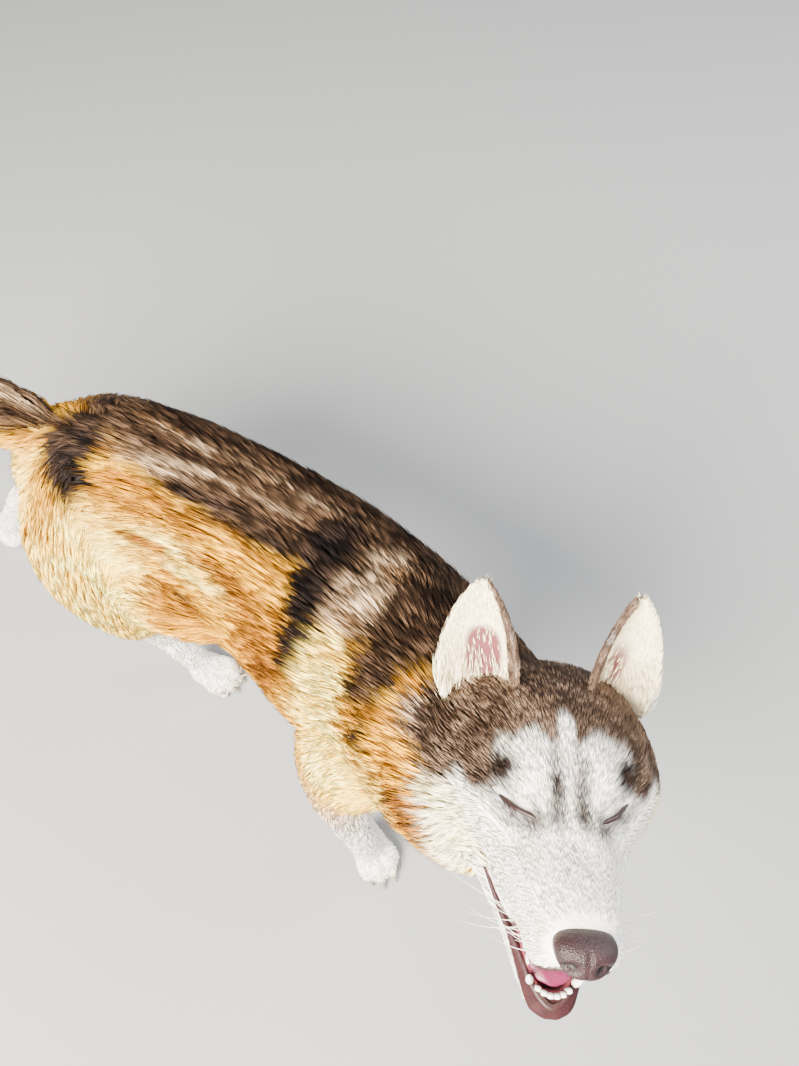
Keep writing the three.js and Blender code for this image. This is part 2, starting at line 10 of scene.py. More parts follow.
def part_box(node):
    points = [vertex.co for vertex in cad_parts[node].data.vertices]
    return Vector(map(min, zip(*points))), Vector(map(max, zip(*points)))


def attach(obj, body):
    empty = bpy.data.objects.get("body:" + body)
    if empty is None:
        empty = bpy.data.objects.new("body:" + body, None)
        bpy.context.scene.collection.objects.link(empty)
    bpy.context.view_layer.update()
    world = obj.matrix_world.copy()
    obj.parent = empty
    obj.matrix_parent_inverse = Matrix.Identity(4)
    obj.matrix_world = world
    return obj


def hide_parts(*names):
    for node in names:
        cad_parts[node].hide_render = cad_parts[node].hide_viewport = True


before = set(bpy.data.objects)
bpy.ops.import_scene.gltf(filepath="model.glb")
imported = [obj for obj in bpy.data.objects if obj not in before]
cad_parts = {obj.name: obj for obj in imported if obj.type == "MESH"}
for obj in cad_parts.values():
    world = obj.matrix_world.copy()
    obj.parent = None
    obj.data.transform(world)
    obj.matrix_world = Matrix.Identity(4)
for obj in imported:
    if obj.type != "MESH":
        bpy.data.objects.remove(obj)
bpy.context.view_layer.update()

scene = bpy.context.scene

# Where the husky stands
# The body is measured in millimetres from a point under its chest. The nose leather of the solid
# model ties those measures to the model's own origin.
MM = 0.001


def turned(degrees, axis):
    return Matrix.Rotation(radians(degrees), 4, axis)


HEAD_TURN = turned(-60, "Z") @ turned(-36, "Y") @ turned(-2, "X")
HEAD_AT = Matrix.Translation((0.367, -0.121, 0.672)) @ HEAD_TURN
nose_low, nose_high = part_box("nose")
SHIFT = (nose_low + nose_high) / 2 - HEAD_AT @ Vector((0.099, 0.0, -0.030))
SHIFT.z = 0.0
BODY_PLACE = Matrix.Translation(SHIFT)
HEAD_PLACE = BODY_PLACE @ HEAD_AT
JAW_PLACE = HEAD_PLACE @ Matrix.Translation((-0.080, 0, -0.050)) @ turned(29, "Y")

# Camera
# A phone held at standing height in front of the dog's right shoulder, looking steeply down.
camera_data = bpy.data.cameras.new("camera")
camera_data.sensor_width = 36
camera_data.lens = 28.29
camera = bpy.data.objects.new("camera", camera_data)
scene.collection.objects.link(camera)
camera_axes = Matrix((
    (0.84221, -0.48108, 0.24341), (0.53856, 0.72953, -0.42159), (0.02525, 0.48616, 0.87351),
))
camera.matrix_world = Matrix.Translation(Vector((0.3139, -0.3037, 1.32)) + SHIFT) @ camera_axes.to_4x4()
scene.camera = camera

# Floor and light
# A plain matt studio floor under a broad warm lamp on the dog's right, with a weaker cool lamp on
# its left and an even surround.
FLOOR_HALF = 6
bm = bmesh.new()
bmesh.ops.create_grid(bm, x_segments=1, y_segments=1, size=FLOOR_HALF)
floor_mesh = bpy.data.meshes.new("floor")
bm.to_mesh(floor_mesh)
bm.free()
floor = bpy.data.objects.new("floor", floor_mesh)
scene.collection.objects.link(floor)
floor_finish = bpy.data.materials.new("floor_paint")
floor_finish.use_nodes = True
floor_finish.node_tree.nodes["Principled BSDF"].inputs["Base Color"].default_value = (0.27, 0.275, 0.285, 1)
floor_finish.node_tree.nodes["Principled BSDF"].inputs["Roughness"].default_value = 0.8
floor_mesh.materials.append(floor_finish)

world = bpy.data.worlds.new("studio")
world.use_nodes = True
world.node_tree.nodes["Background"].inputs["Color"].default_value = (0.95, 0.97, 1.0, 1)
world.node_tree.nodes["Background"].inputs["Strength"].default_value = 0.85
scene.world = world


def lamp(name, at, aim, size, watts, colour):
    light = bpy.data.lights.new(name, "AREA")
    light.size = size
    light.energy = watts
    light.color = colour
    ob = bpy.data.objects.new(name, light)
    ob.location = Vector(at) + SHIFT
    ob.rotation_euler = (Vector(at) - Vector(aim)).to_track_quat("Z", "Y").to_euler()
    scene.collection.objects.link(ob)


lamp("key", (-0.1, -1.9, 2.1), (0.05, -0.05, 0.45), 1.5, 640, (1.0, 0.94, 0.80))
lamp("fill", (1.4, 2.0, 2.2), (0.1, 0.0, 0.4), 2.4, 170, (0.96, 0.98, 1.0))

# Skin
# One skin over the whole body, from rump and paws to lips. It is lofted over the same stations as
# the solid model, drawn in by the depth of the coat, and fused so that no seam shows.
BACKLINE = [
    [-386, -34, 434, 10, 12, 12, 2.0, 0], [-377, -32, 436, 44, 42, 54, 2.1, 0.05],
    [-348, -24, 440, 80, 70, 92, 2.2, 0.1], [-290, -4, 442, 100, 90, 104, 2.3, 0.14],
    [-215, 10, 440, 108, 100, 102, 2.3, 0.12], [-140, 18, 437, 108, 103, 98, 2.3, 0.06],
    [-60, 18, 429, 115, 112, 112, 2.3, 0.04], [20, 10, 422, 124, 126, 130, 2.3, 0.04],
    [95, -6, 422, 128, 142, 144, 2.3, 0.08], [160, -24, 428, 126, 158, 150, 2.3, 0.1],
    [215, -44, 437, 116, 138, 136, 2.3, 0.08], [262, -66, 444, 98, 108, 110, 2.2, 0.04],
    [296, -84, 450, 62, 70, 72, 2.1, 0], [310, -92, 452, 12, 14, 14, 2.0, 0],
]
NECKLINE = [
    [128, -8, 445, 60, 60, 60, 2.0], [172, -30, 482, 92, 88, 104, 2.1],
    [222, -54, 512, 100, 84, 124, 2.2], [266, -74, 538, 100, 76, 126, 2.2],
    [300, -88, 562, 94, 66, 116, 2.2], [326, -100, 584, 74, 48, 90, 2.1],
    [340, -106, 594, 24, 18, 28, 2.0],
]
TAILLINE = [
    [-322, -10, 484, 18, 18, 18, 2.0], [-352, -18, 495, 32, 32, 34, 2.0],
    [-400, -34, 500, 38, 36, 40, 2.0], [-450, -50, 494, 41, 39, 43, 2.0],
    [-500, -66, 472, 42, 40, 44, 2.0], [-546, -80, 434, 40, 38, 42, 2.0],
    [-582, -90, 388, 34, 33, 36, 2.0], [-604, -96, 340, 25, 25, 27, 2.0],
    [-616, -99, 300, 8, 8, 8, 2.0],
]
HEADLINE = [
    [-168, 0, -28, 10, 10, 10, 2.0, 0], [-160, 0, -27, 50, 42, 46, 2.1, 0.02],
    [-138, 0, -25, 78, 64, 66, 2.2, 0.06], [-106, 0, -23, 90, 70, 74, 2.2, 0.1],
    [-76, 0, -22, 91, 69, 74, 2.2, 0.14], [-48, 0, -21, 83, 62, 68, 2.2, 0.16],
    [-22, 0, -21, 69, 49, 56, 2.2, 0.2], [0, 0, -23, 57, 36, 43, 2.3, 0.22],
    [20, 0, -27, 50, 29, 36, 2.5, 0.22], [42, 0, -30, 45, 26, 32, 2.6, 0.2],
    [66, 0, -32, 39, 24, 28, 2.6, 0.15], [84, 0, -33, 31, 21, 23, 2.6, 0.06],
    [96, 0, -34, 24, 15, 19, 2.4, 0.04], [102, 0, -35, 14, 8, 12, 2.2, 0],
    [104, 0, -35, 6, 3, 4, 2.0, 0],
]
PALATE = [
    [-30, 0, -74, 16, 6, 30, 2.2], [0, 0, -68, 32, 14, 30, 2.4], [40, 0, -62, 33, 16, 30, 2.6],
    [75, 0, -59, 28, 14, 30, 2.6], [92, 0, -57, 18, 8, 30, 2.4], [97, 0, -57, 4, 2, 20, 2.0],
]
JAWLINE = [
    [2, 0, -16, 30, 14, 20, 2.0], [18, 0, -13, 62, 36, 42, 2.2], [48, 0, -12, 62, 32, 42, 2.3],
    [78, 0, -13, 51, 24, 35, 2.4], [108, 0, -13, 39, 17, 27, 2.4], [135, 0, -11, 31, 13, 20, 2.4],
    [155, 0, -9, 25, 10, 15, 2.4], [168, 0, -8, 19, 8, 12, 2.3], [175, 0, -7, 8, 4, 6, 2.0],
]
JAW_TROUGH = [
    [46, 0, 10, 22, 40, 18, 2.2], [72, 0, 8, 36, 40, 16, 2.4], [108, 0, 5, 28, 30, 12, 2.4],
    [138, 0, 4, 21, 26, 9, 2.4], [157, 0, 4, 13, 22, 6, 2.2], [161, 0, 4, 3, 10, 3, 2.0],
]
LEGLINES = {
    "foreleg_right": (-28, (206, -147, -26), [
        [176, -64, 516, 20, 34, 34, 2.0], [170, -90, 470, 36, 54, 54, 2.2],
        [160, -108, 420, 46, 68, 66, 2.3], [150, -121, 370, 48, 70, 68, 2.3],
        [144, -131, 325, 43, 56, 60, 2.2], [150, -142, 285, 36, 42, 46, 2.1],
        [171, -151, 235, 30, 31, 34, 2.1], [186, -154, 170, 26, 26, 29, 2.1],
        [193, -151, 118, 27, 28, 26, 2.1], [196, -148, 78, 23, 23, 21, 2.1],
        [198, -147, 44, 24, 24, 22, 2.1], [200, -147, 26, 18, 16, 16, 2.0],
    ]),
    "foreleg_left": (-24, (254, 52, -18), [
        [204, -4, 516, 20, 34, 34, 2.0], [206, 24, 470, 36, 54, 54, 2.2],
        [206, 42, 420, 46, 68, 66, 2.3], [206, 55, 370, 48, 70, 68, 2.3],
        [204, 64, 325, 43, 56, 60, 2.2], [205, 68, 285, 36, 42, 46, 2.1],
        [213, 66, 235, 30, 31, 34, 2.1], [226, 60, 170, 26, 26, 29, 2.1],
        [236, 56, 118, 27, 28, 26, 2.1], [240, 54, 78, 23, 23, 21, 2.1],
        [245, 54, 44, 24, 24, 22, 2.1], [247, 54, 26, 18, 16, 16, 2.0],
    ]),
    "hindleg_right": (12, (-164, -57, 8), [
        [-286, -38, 510, 22, 36, 36, 2.0], [-276, -60, 462, 46, 80, 70, 2.2],
        [-258, -80, 405, 60, 100, 84, 2.3], [-238, -91, 352, 60, 96, 84, 2.3],
        [-222, -97, 302, 50, 70, 68, 2.3], [-220, -95, 258, 37, 47, 49, 2.2],
        [-232, -87, 208, 29, 33, 37, 2.1], [-240, -78, 155, 25, 25, 34, 2.1],
        [-224, -69, 104, 22, 22, 23, 2.1], [-197, -61, 54, 23, 22, 21, 2.1],
        [-183, -58, 28, 18, 16, 16, 2.0],
    ]),
    "hindleg_left": (24, (-632, -46, 22), [
        [-300, 22, 510, 22, 36, 36, 2.0], [-304, 40, 462, 46, 80, 66, 2.2],
        [-314, 54, 405, 60, 102, 76, 2.3], [-330, 62, 352, 60, 94, 74, 2.3],
        [-352, 62, 302, 50, 68, 62, 2.3], [-388, 52, 260, 38, 48, 48, 2.2],
        [-440, 33, 218, 30, 35, 36, 2.1], [-498, 11, 182, 26, 28, 30, 2.1],
        [-550, -10, 146, 25, 26, 32, 2.1], [-586, -27, 98, 22, 22, 22, 2.1],
        [-610, -38, 52, 23, 22, 21, 2.1], [-619, -42, 28, 18, 16, 16, 2.0],
    ]),
}


def unit(rows):
    return rows / np.maximum(np.linalg.norm(rows, axis=-1, keepdims=True), 1e-9)


def smooth_path(points, steps):
    """Rows of a smooth curve that passes through every point."""
    rows = np.array(points, float)
    rows = np.vstack([2 * rows[0] - rows[1], rows, 2 * rows[-1] - rows[-2]])
    t = np.linspace(0, len(points) - 1, steps + 1)
    k = np.minimum(t.astype(int), len(points) - 2)
    f = (t - k)[:, None]
    a, b, c, d = rows[k], rows[k + 1], rows[k + 2], rows[k + 3]
    return 0.5 * (2 * b + (c - a) * f + (2 * a - 5 * b + 4 * c - d) * f**2 + (3 * b - a - 3 * c + d) * f**3)


def spine(stations, steps, hint=(0, 0, 1), place=BODY_PLACE):
    """A smooth line through the stations, with the sizes of the body round it, in metres."""
    rows = smooth_path([list(s) + [0.0] * (8 - len(s)) for s in stations], steps)
    turn = np.array(place.to_3x3())
    centre = rows[:, :3] * MM @ turn.T + np.array(place.translation)
    along = unit(np.gradient(centre, axis=0))
    up = np.tile(turn @ np.array(hint, float), (steps + 1, 1))
    up = unit(up - along * (up * along).sum(1, keepdims=True))
    return {
        "centre": centre, "along": along, "up": up, "side": np.cross(up, along),
        "sizes": rows[:, 3:6] * MM, "square": np.maximum(rows[:, 6], 1.2), "taper": rows[:, 7],
    }


def bridged(bm, rings):
    """Bridges each ring of points to the next and closes both ends."""
    loops = [list({e for v in ring for e in v.link_edges}) for ring in rings]
    for near, far in zip(loops, loops[1:]):
        bmesh.ops.bridge_loops(bm, edges=near + far)
    for end in (loops[0], loops[-1]):
        bmesh.ops.contextual_create(bm, geom=end)


def tube(bm, line, grow, sides=36):
    """Rings of the body's section set along its line and bridged, with both ends closed."""
    rings = []
    for i in range(len(line["centre"])):
        ring = bmesh.ops.create_circle(bm, segments=sides, radius=1)["verts"]
        half, rise, drop = np.maximum(line["sizes"][i] + grow[i], 0.001)
        for v in ring:
            c, s = v.co.x, v.co.y
            power = 2 / line["square"][i]
            across = half * (1 - line["taper"][i] * s) * np.sign(c) * abs(c) ** power
            reach = (rise if s > 0 else drop) * np.sign(s) * abs(s) ** power
            v.co = Vector(line["centre"][i] + line["side"][i] * across + line["up"][i] * reach)
        rings.append(ring)
    bridged(bm, rings)


def drawn_in(line, first, last):
    """How far the skin lies inside the coat's outline, from the line's start to its end."""
    return np.linspace(-first, -last, len(line["centre"])) * MM


def new_piece(name, bm):
    """A piece with its faces turned outwards and shaded smooth."""
    bmesh.ops.recalc_face_normals(bm, faces=bm.faces)
    for f in bm.faces:
        f.smooth = True
    mesh = bpy.data.meshes.new(name)
    bm.to_mesh(mesh)
    bm.free()
    ob = bpy.data.objects.new(name, mesh)
    scene.collection.objects.link(ob)
    return ob


def settle(ob):
    """Applies a piece's modifiers to its mesh."""
    ready = ob.evaluated_get(bpy.context.evaluated_depsgraph_get())
    mesh = bpy.data.meshes.new_from_object(ready)
    ob.modifiers.clear()
    old = ob.data
    ob.data = mesh
    bpy.data.meshes.remove(old)
    mesh.name = ob.name


def hollowed(name, stations, steps, place, depth, hollow):
    """A loft with its mouth hollow cut out, and the cutter that made the hollow."""
    line = spine(stations, steps, place=place)
    bm = bmesh.new()
    tube(bm, line, drawn_in(line, *depth))
    ob = new_piece(name, bm)
    line = spine(hollow, 30, place=place)
    bm = bmesh.new()
    tube(bm, line, drawn_in(line, 0, 0), 28)
    cutter = new_piece(name + "_hollow", bm)
    cut = ob.modifiers.new("mouth", "BOOLEAN")
    cut.object = cutter
    cut.solver = "EXACT"
    settle(ob)
    return ob, cutter


def forwards(yaw):
    return (cos(radians(yaw)), sin(radians(yaw)), 0.0)


def paw_place(x, y, turn):
    """Where a paw stands on the floor, and which way it points."""
    return BODY_PLACE @ Matrix.Translation((x * MM, y * MM, 0)) @ turned(turn, "Z")


TOES = ((25, 9), (25, -9), (12, 21), (12, -21))
TOE_RADII = (21.5, 10.8, 15.5)
HEEL_AT, HEEL_RADII = (-9, 0, 19), (32, 27, 21)
back_line = spine(BACKLINE, 60)
neck_line = spine(NECKLINE, 36)
tail_line = spine(TAILLINE, 44)
head_line = spine(HEADLINE, 70, place=HEAD_PLACE)
jaw_line = spine(JAWLINE, 44, place=JAW_PLACE)
leg_lines = {name: spine(rows, 50, forwards(yaw)) for name, (yaw, _, rows) in LEGLINES.items()}
head_part, roof_cutter = hollowed("head_form", HEADLINE, 70, HEAD_PLACE, (5, 1.5), PALATE)
jaw_part, trough_cutter = hollowed("jaw_form", JAWLINE, 44, JAW_PLACE, (4, 1.5), JAW_TROUGH)

bm = bmesh.new()
for part in (head_part, jaw_part):
    bm.from_mesh(part.data)
tube(bm, back_line, drawn_in(back_line, 13, 13))
tube(bm, neck_line, drawn_in(neck_line, 6, 4))
tube(bm, tail_line, drawn_in(tail_line, 8, 5), 24)
for name, line in leg_lines.items():
    tube(bm, line, drawn_in(line, 9, 2), 28)
    paw = paw_place(*LEGLINES[name][1])
    pads = [(HEEL_AT, HEEL_RADII, 8, 0)]
    pads += [((x, y, 14), TOE_RADII, 12, np.sign(y) * (9 if abs(y) > 15 else 2)) for x, y in TOES]
    for at, radii, dip, spread in pads:
        toe = paw @ Matrix.Translation(Vector(at) * MM) @ turned(spread, "Z")
        toe = toe @ turned(dip, "Y") @ Matrix.Diagonal((*(r * MM for r in radii), 1))
        bmesh.ops.create_icosphere(bm, subdivisions=3, radius=1, matrix=toe)
SKIN_CELL = 0.0044
# The loose fold of skin from the stifle to the flank
fold_line = spine([
    [-236, -92, 372, 12, 14, 20, 2.0], [-196, -98, 376, 24, 34, 44, 2.1], [-140, -96, 392, 25, 38, 46, 2.1],
    [-84, -88, 404, 22, 34, 40, 2.1], [-34, -78, 410, 10, 14, 16, 2.0],
], 24)
tube(bm, fold_line, drawn_in(fold_line, 0, 0), 20)
skin = new_piece("skin", bm)
fuse = skin.modifiers.new("fuse", "REMESH")
fuse.mode = "VOXEL"
fuse.voxel_size = SKIN_CELL
settle(skin)


def eased(bm, verts, times, factor=0.5):
    on_all_axes = {"use_axis_" + axis: True for axis in "xyz"}
    for _ in range(times):
        bmesh.ops.smooth_vert(bm, verts=verts, factor=factor, **on_all_axes)


def swell(gap, radius):
    """The share of a bump that is left at a distance from its middle."""
    return np.exp(-((gap / radius) ** 2))


def search_tree(ob):
    return BVHTree.FromObject(ob, bpy.context.evaluated_depsgraph_get())


# The face is kept finer than the rest: its cells are split once, then pushed in or out over the
# brows, eyes, cheeks and lips.
bm = bmesh.new()
bm.from_mesh(skin.data)
to_head = HEAD_PLACE.inverted()
on_head = {v for v in bm.verts if (to_head @ v.co).x > -0.09 and v.co.z > 0.5 and (to_head @ v.co).z > -0.15}
body = [v for v in bm.verts if v not in on_head]
eased(bm, body, 5)
fine = [e for e in bm.edges if e.verts[0] in on_head and e.verts[1] in on_head]
bmesh.ops.subdivide_edges(bm, edges=fine, cuts=1, use_grid_fill=True)
near_head = [v for v in bm.verts if (to_head @ v.co).x > -0.095 and v.co.z > 0.49]
eased(bm, near_head, 3)

FACE_MODELLING = [
    ((-26, 0, 33), 15, (0, 0, -4)), ((6, 0, 12), 14, (0, 0, -4)), ((40, 0, 0), 14, (0, 0, -1.5)),
    ((-6, 38, -4), 17, (-3, -8, -5)), ((-20, 27, 28), 14, (2, 2, 5)), ((22, 44, -16), 17, (0, -5, -1)),
    ((88, 30, -42), 14, (2, 4, -2)), ((-62, 84, -36), 30, (0, 6, -3)), ((0, 42, -2), 10, (2.5, 4.5, 3.5)),
    ((80, 21, -54), 15, (3, 3, -12)), ((-8, 30, 14), 9, (1, 2, 2.5)), ((16, 30, -4), 9, (-1, -2, -1.5)),
]
for v in near_head:
    p = to_head @ v.co
    moved = Vector(p)
    for centre, radius, by in FACE_MODELLING:
        for hand in (1, -1) if centre[1] else (1,):
            at = Vector((centre[0], hand * centre[1], centre[2])) * MM
            push = Vector((by[0], hand * by[1], by[2])) * MM
            moved += push * swell((p - at).length, radius * MM)
    v.co = HEAD_PLACE @ moved
# The lips are drawn to the dog's right, as the head leans.
for v in near_head:
    p = to_head @ v.co
    for centre, radius, by in (((32, -42, -58), 34, (0, -8, -2)), ((52, 38, -40), 34, (0, -5, 0))):
        p += Vector(by) * MM * swell((p - Vector(centre) * MM).length, radius * MM)
    v.co = HEAD_PLACE @ p
CLEAR_OF_FLOOR = 0.0006
for v in bm.verts:
    v.co.z = max(v.co.z, CLEAR_OF_FLOOR)
bmesh.ops.triangulate(bm, faces=[f for f in bm.faces if len(f.verts) > 4])
for f in bm.faces:
    f.smooth = True
bm.to_mesh(skin.data)
bm.free()

LOWER_LIP = [
    (50, 58, -10), (66, 51, -5.5), (78, 46.5, -5.5), (89, 42, -6), (100, 37.5, -6.5), (111, 33, -6),
    (122, 28.5, -4), (136, 22.5, -2), (150, 17, -0.4), (160, 11, -0.4), (166, 5, -1), (168, 0, -1),
]
JAW_EDGE = [
    (30, 52, 14), (52, 44, 13), (72, 37, 8), (90, 32, 4), (108, 28, 0.5), (124, 24.5, -0.4), (150, 16, 0),
    (166, 0, 0),
]
UPPER_LIP = [
    (-38, 54, -80), (-18, 45, -69), (0, 36, -62), (20, 35, -58.5), (40, 34, -56), (60, 31, -53.5),
    (72, 31, -59), (86, 25, -63), (97, 13, -60), (101, 0, -54),
]


def mirrored(points):
    return points + [(x, -y, z) for x, y, z in reversed(points[:-1])]


# How far each point of the skin is inside the mouth or on a bare lip, for its flesh.
FLESH_REACH, FLESH_EDGE, LIP_EDGE = 0.0042, 0.002, 0.0012
mouth_walls = [search_tree(cutter) for cutter in (roof_cutter, trough_cutter)]
mouth = skin.data.attributes.new("mouth", "FLOAT", "POINT")
to_jaw = JAW_PLACE.inverted()
for v, cell in zip(skin.data.vertices, mouth.data):
    p, q = to_head @ v.co, to_jaw @ v.co
    if v.co.z > 0.5 and p.x > -0.06:
        nearest = min(tree.find_nearest(v.co)[3] for tree in mouth_walls)
        cell.value = min(max((FLESH_REACH - nearest) / FLESH_EDGE, 0.0), 1.0)
        facing_in = (to_head.to_3x3() @ v.normal).y * (1 if p.y > 0 else -1) < 0.25
        if facing_in and p.x > -0.04 and p.z < -0.052 and q.x > 0.03 and q.z > -0.001:
            cell.value = 1.0
lip = skin.data.attributes.new("lip", "FLOAT", "POINT")
skin_at = np.array([v.co for v in skin.data.vertices])
lip_values = np.zeros(len(skin_at))
for points, place, at_corner, at_front in (
    (LOWER_LIP, JAW_PLACE, 1.5, 16), (JAW_EDGE, JAW_PLACE, 4.5, 5), (UPPER_LIP, HEAD_PLACE, 3.0, 3.6),
):
    path = np.array([place @ (Vector(p) * MM) for p in smooth_path(mirrored(points), 60)])
    for i, p in enumerate(path):
        reach = (at_corner + (at_front - at_corner) * sin(np.pi * i / 60) ** 3) * MM
        gap = np.linalg.norm(skin_at - p, axis=1)
        lip_values = np.maximum(lip_values, np.clip((reach - gap) / LIP_EDGE, 0, 1))
lip.data.foreach_set("value", lip_values.astype(np.float32))
for ob in (head_part, jaw_part, roof_cutter, trough_cutter):
    bpy.data.objects.remove(ob)


def unwrap(ob):
    """Lays the piece's own surface out flat in the map that its colours are kept in."""
    layer = ob.data.uv_layers.get("OFBake") or ob.data.uv_layers.new(name="OFBake")
    ob.data.uv_layers.active = layer
    for other in bpy.context.selected_objects:
        other.select_set(False)
    bpy.context.view_layer.objects.active = ob
    ob.select_set(True)
    bpy.ops.object.mode_set(mode="EDIT")
    bpy.ops.mesh.select_all(action="SELECT")
    bpy.ops.uv.smart_project(angle_limit=radians(62), island_margin=0.002)
    bpy.ops.object.mode_set(mode="OBJECT")
    ob.select_set(False)


unwrap(skin)

# Markings of the coat, shared by skin, ears and tufts. Each patch is a soft ball, stretched and
# turned, in the frame of the body or of the head. Later patches lie over earlier ones.
GOLD, CREAM, SADDLE, SOOT, ASH = "gold", "cream", "saddle", "soot", "ash"
RUST, WHITE, CAP, TAN, WARM = "rust", "white", "cap", "tan", "warm"
COAT_COLOURS = {
    GOLD: ((0.42, 0.16, 0.004), (0.93, 0.49, 0.012)),
    RUST: ((0.12, 0.038, 0.004), (0.50, 0.19, 0.008)),
    CREAM: ((0.96, 0.62, 0.075), (1.0, 0.87, 0.27)),
    WHITE: ((0.98, 0.94, 0.86), (1.0, 0.98, 0.96)),
    WARM: ((1.0, 0.88, 0.54), (1.0, 0.95, 0.74)),
    SADDLE: ((0.014, 0.007, 0.004), (0.105, 0.058, 0.033)),
    SOOT: ((0.006, 0.004, 0.004), (0.034, 0.020, 0.015)),
    ASH: ((0.045, 0.036, 0.034), (0.30, 0.26, 0.25)),
    TAN: ((0.15, 0.076, 0.034), (0.66, 0.46, 0.29)),
    CAP: ((0.058, 0.034, 0.024), (0.20, 0.132, 0.092)),
}
# name, colour, centre, radii, turn about z, softness
BODY_MARKS = [
    ("flank_low", RUST, (0, -70, 330), (260, 90, 60), -4, 0.35),
    ("belly", CREAM, (-60, 0, 300), (300, 70, 50), 0, 0.4),
    ("thigh_right", CREAM, (-215, -110, 350), (92, 90, 150), 0, 0.3),
    ("thigh_left", CREAM, (-300, 100, 330), (130, 90, 150), 0, 0.3),
    ("rump_gold", CREAM, (-330, -60, 420), (60, 60, 70), 0, 0.35),
    ("ribs_yellow", CREAM, (-110, -84, 492), (74, 40, 18), 10, 0.6),
    ("fold", RUST, (-88, -95, 440), (46, 40, 8), 8, 0.8),
    ("fold_dark", SOOT, (-84, -98, 446), (22, 20, 7), 8, 0.6),
    ("flank_row_1", RUST, (-150, -50, 518), (46, 26, 8), 8, 0.6),
    ("flank_row_2", RUST, (-60, -64, 506), (56, 26, 7), 8, 0.6),
    ("flank_row_3", RUST, (-150, -78, 486), (50, 26, 6), 6, 0.6),
    ("flank_row_4", RUST, (0, -72, 500), (40, 26, 9), 8, 0.6),
    ("ribs_rust", RUST, (34, -104, 470), (40, 40, 80), 0, 0.5),
    ("saddle", SADDLE, (-80, 110, 530), (340, 134, 104), 0, 0.13),
    ("saddle_mid", SADDLE, (10, 44, 572), (150, 66, 52), -8, 0.24),
    ("saddle_row_1", TAN, (-205, -4, 540), (56, 7, 26), 6, 0.7),
    ("saddle_row_2", TAN, (-110, 22, 545), (80, 6, 26), 6, 0.7),
    ("saddle_row_3", TAN, (-60, 58, 548), (100, 5, 26), 2, 0.7),
    ("saddle_row_4", TAN, (-190, 48, 540), (66, 5, 26), 2, 0.7),
    ("saddle_row_5", SOOT, (-110, -6, 543), (96, 8, 22), 9, 0.6),
    ("saddle_row_6", SOOT, (-30, -12, 545), (60, 8, 22), 10, 0.6),
    ("rump_patch", SOOT, (-290, -22, 520), (44, 50, 40), 0, 0.25),
    ("rump_patch_low", SOOT, (-262, -58, 506), (26, 30, 24), 0, 0.4),
    ("shoulder_band", SOOT, (58, -12, 548), (32, 78, 70), 12, 0.3),
    ("shoulder_band_low", SOOT, (72, -84, 520), (20, 36, 44), 0, 0.45),
    ("withers", SADDLE, (160, 20, 590), (105, 92, 70), -20, 0.2),
    ("shoulder_tan", TAN, (110, -34, 568), (30, 36, 40), 0, 0.4),
    ("shoulder_beige", TAN, (114, 30, 572), (24, 26, 40), 0, 0.4),
    ("shoulder_cream", CREAM, (118, -108, 516), (36, 60, 56), 10, 0.25),
    ("shoulder_cream_low", CREAM, (150, -150, 440), (66, 60, 90), 0, 0.25),
    ("neck_brown", SADDLE, (166, -80, 594), (30, 58, 50), -20, 0.26),
    ("neck_brown_low", SOOT, (176, -146, 566), (16, 28, 30), -20, 0.45),
    ("neck_gold", GOLD, (214, -128, 600), (30, 46, 44), -20, 0.3),
    ("neck_tan", TAN, (224, -100, 612), (18, 30, 30), -20, 0.5),
    ("ruff_edge", RUST, (262, -180, 562), (40, 34, 42), -20, 0.4),
    ("ruff_cream", CREAM, (204, -186, 540), (36, 34, 60), -20, 0.3),
    ("throat", CREAM, (310, -100, 480), (80, 80, 60), -20, 0.3),
    ("chest", CREAM, (290, -90, 420), (80, 110, 90), -20, 0.3),
    ("foreleg_right", WHITE, (190, -150, 110), (115, 75, 190), 0, 0.5),
    ("foreleg_left", WHITE, (240, 58, 110), (115, 75, 190), 0, 0.5),
    ("hindleg_right", WHITE, (-200, -68, 90), (115, 75, 160), 0, 0.5),
    ("hindleg_left", WHITE, (-590, -30, 70), (120, 100, 130), 24, 0.5),
    ("throat_side", WARM, (318, -165, 560), (36, 42, 46), 0, 0.35),
    ("nape", SADDLE, (244, 26, 610), (84, 112, 80), -60, 0.18),
    ("tail_top", SADDLE, (-410, -20, 545), (140, 70, 46), 14, 0.25),
    ("tail_grey", TAN, (-380, -20, 548), (60, 14, 20), 14, 0.6),
    ("tail_end", SOOT, (-604, -94, 330), (66, 62, 110), 0, 0.3),
]
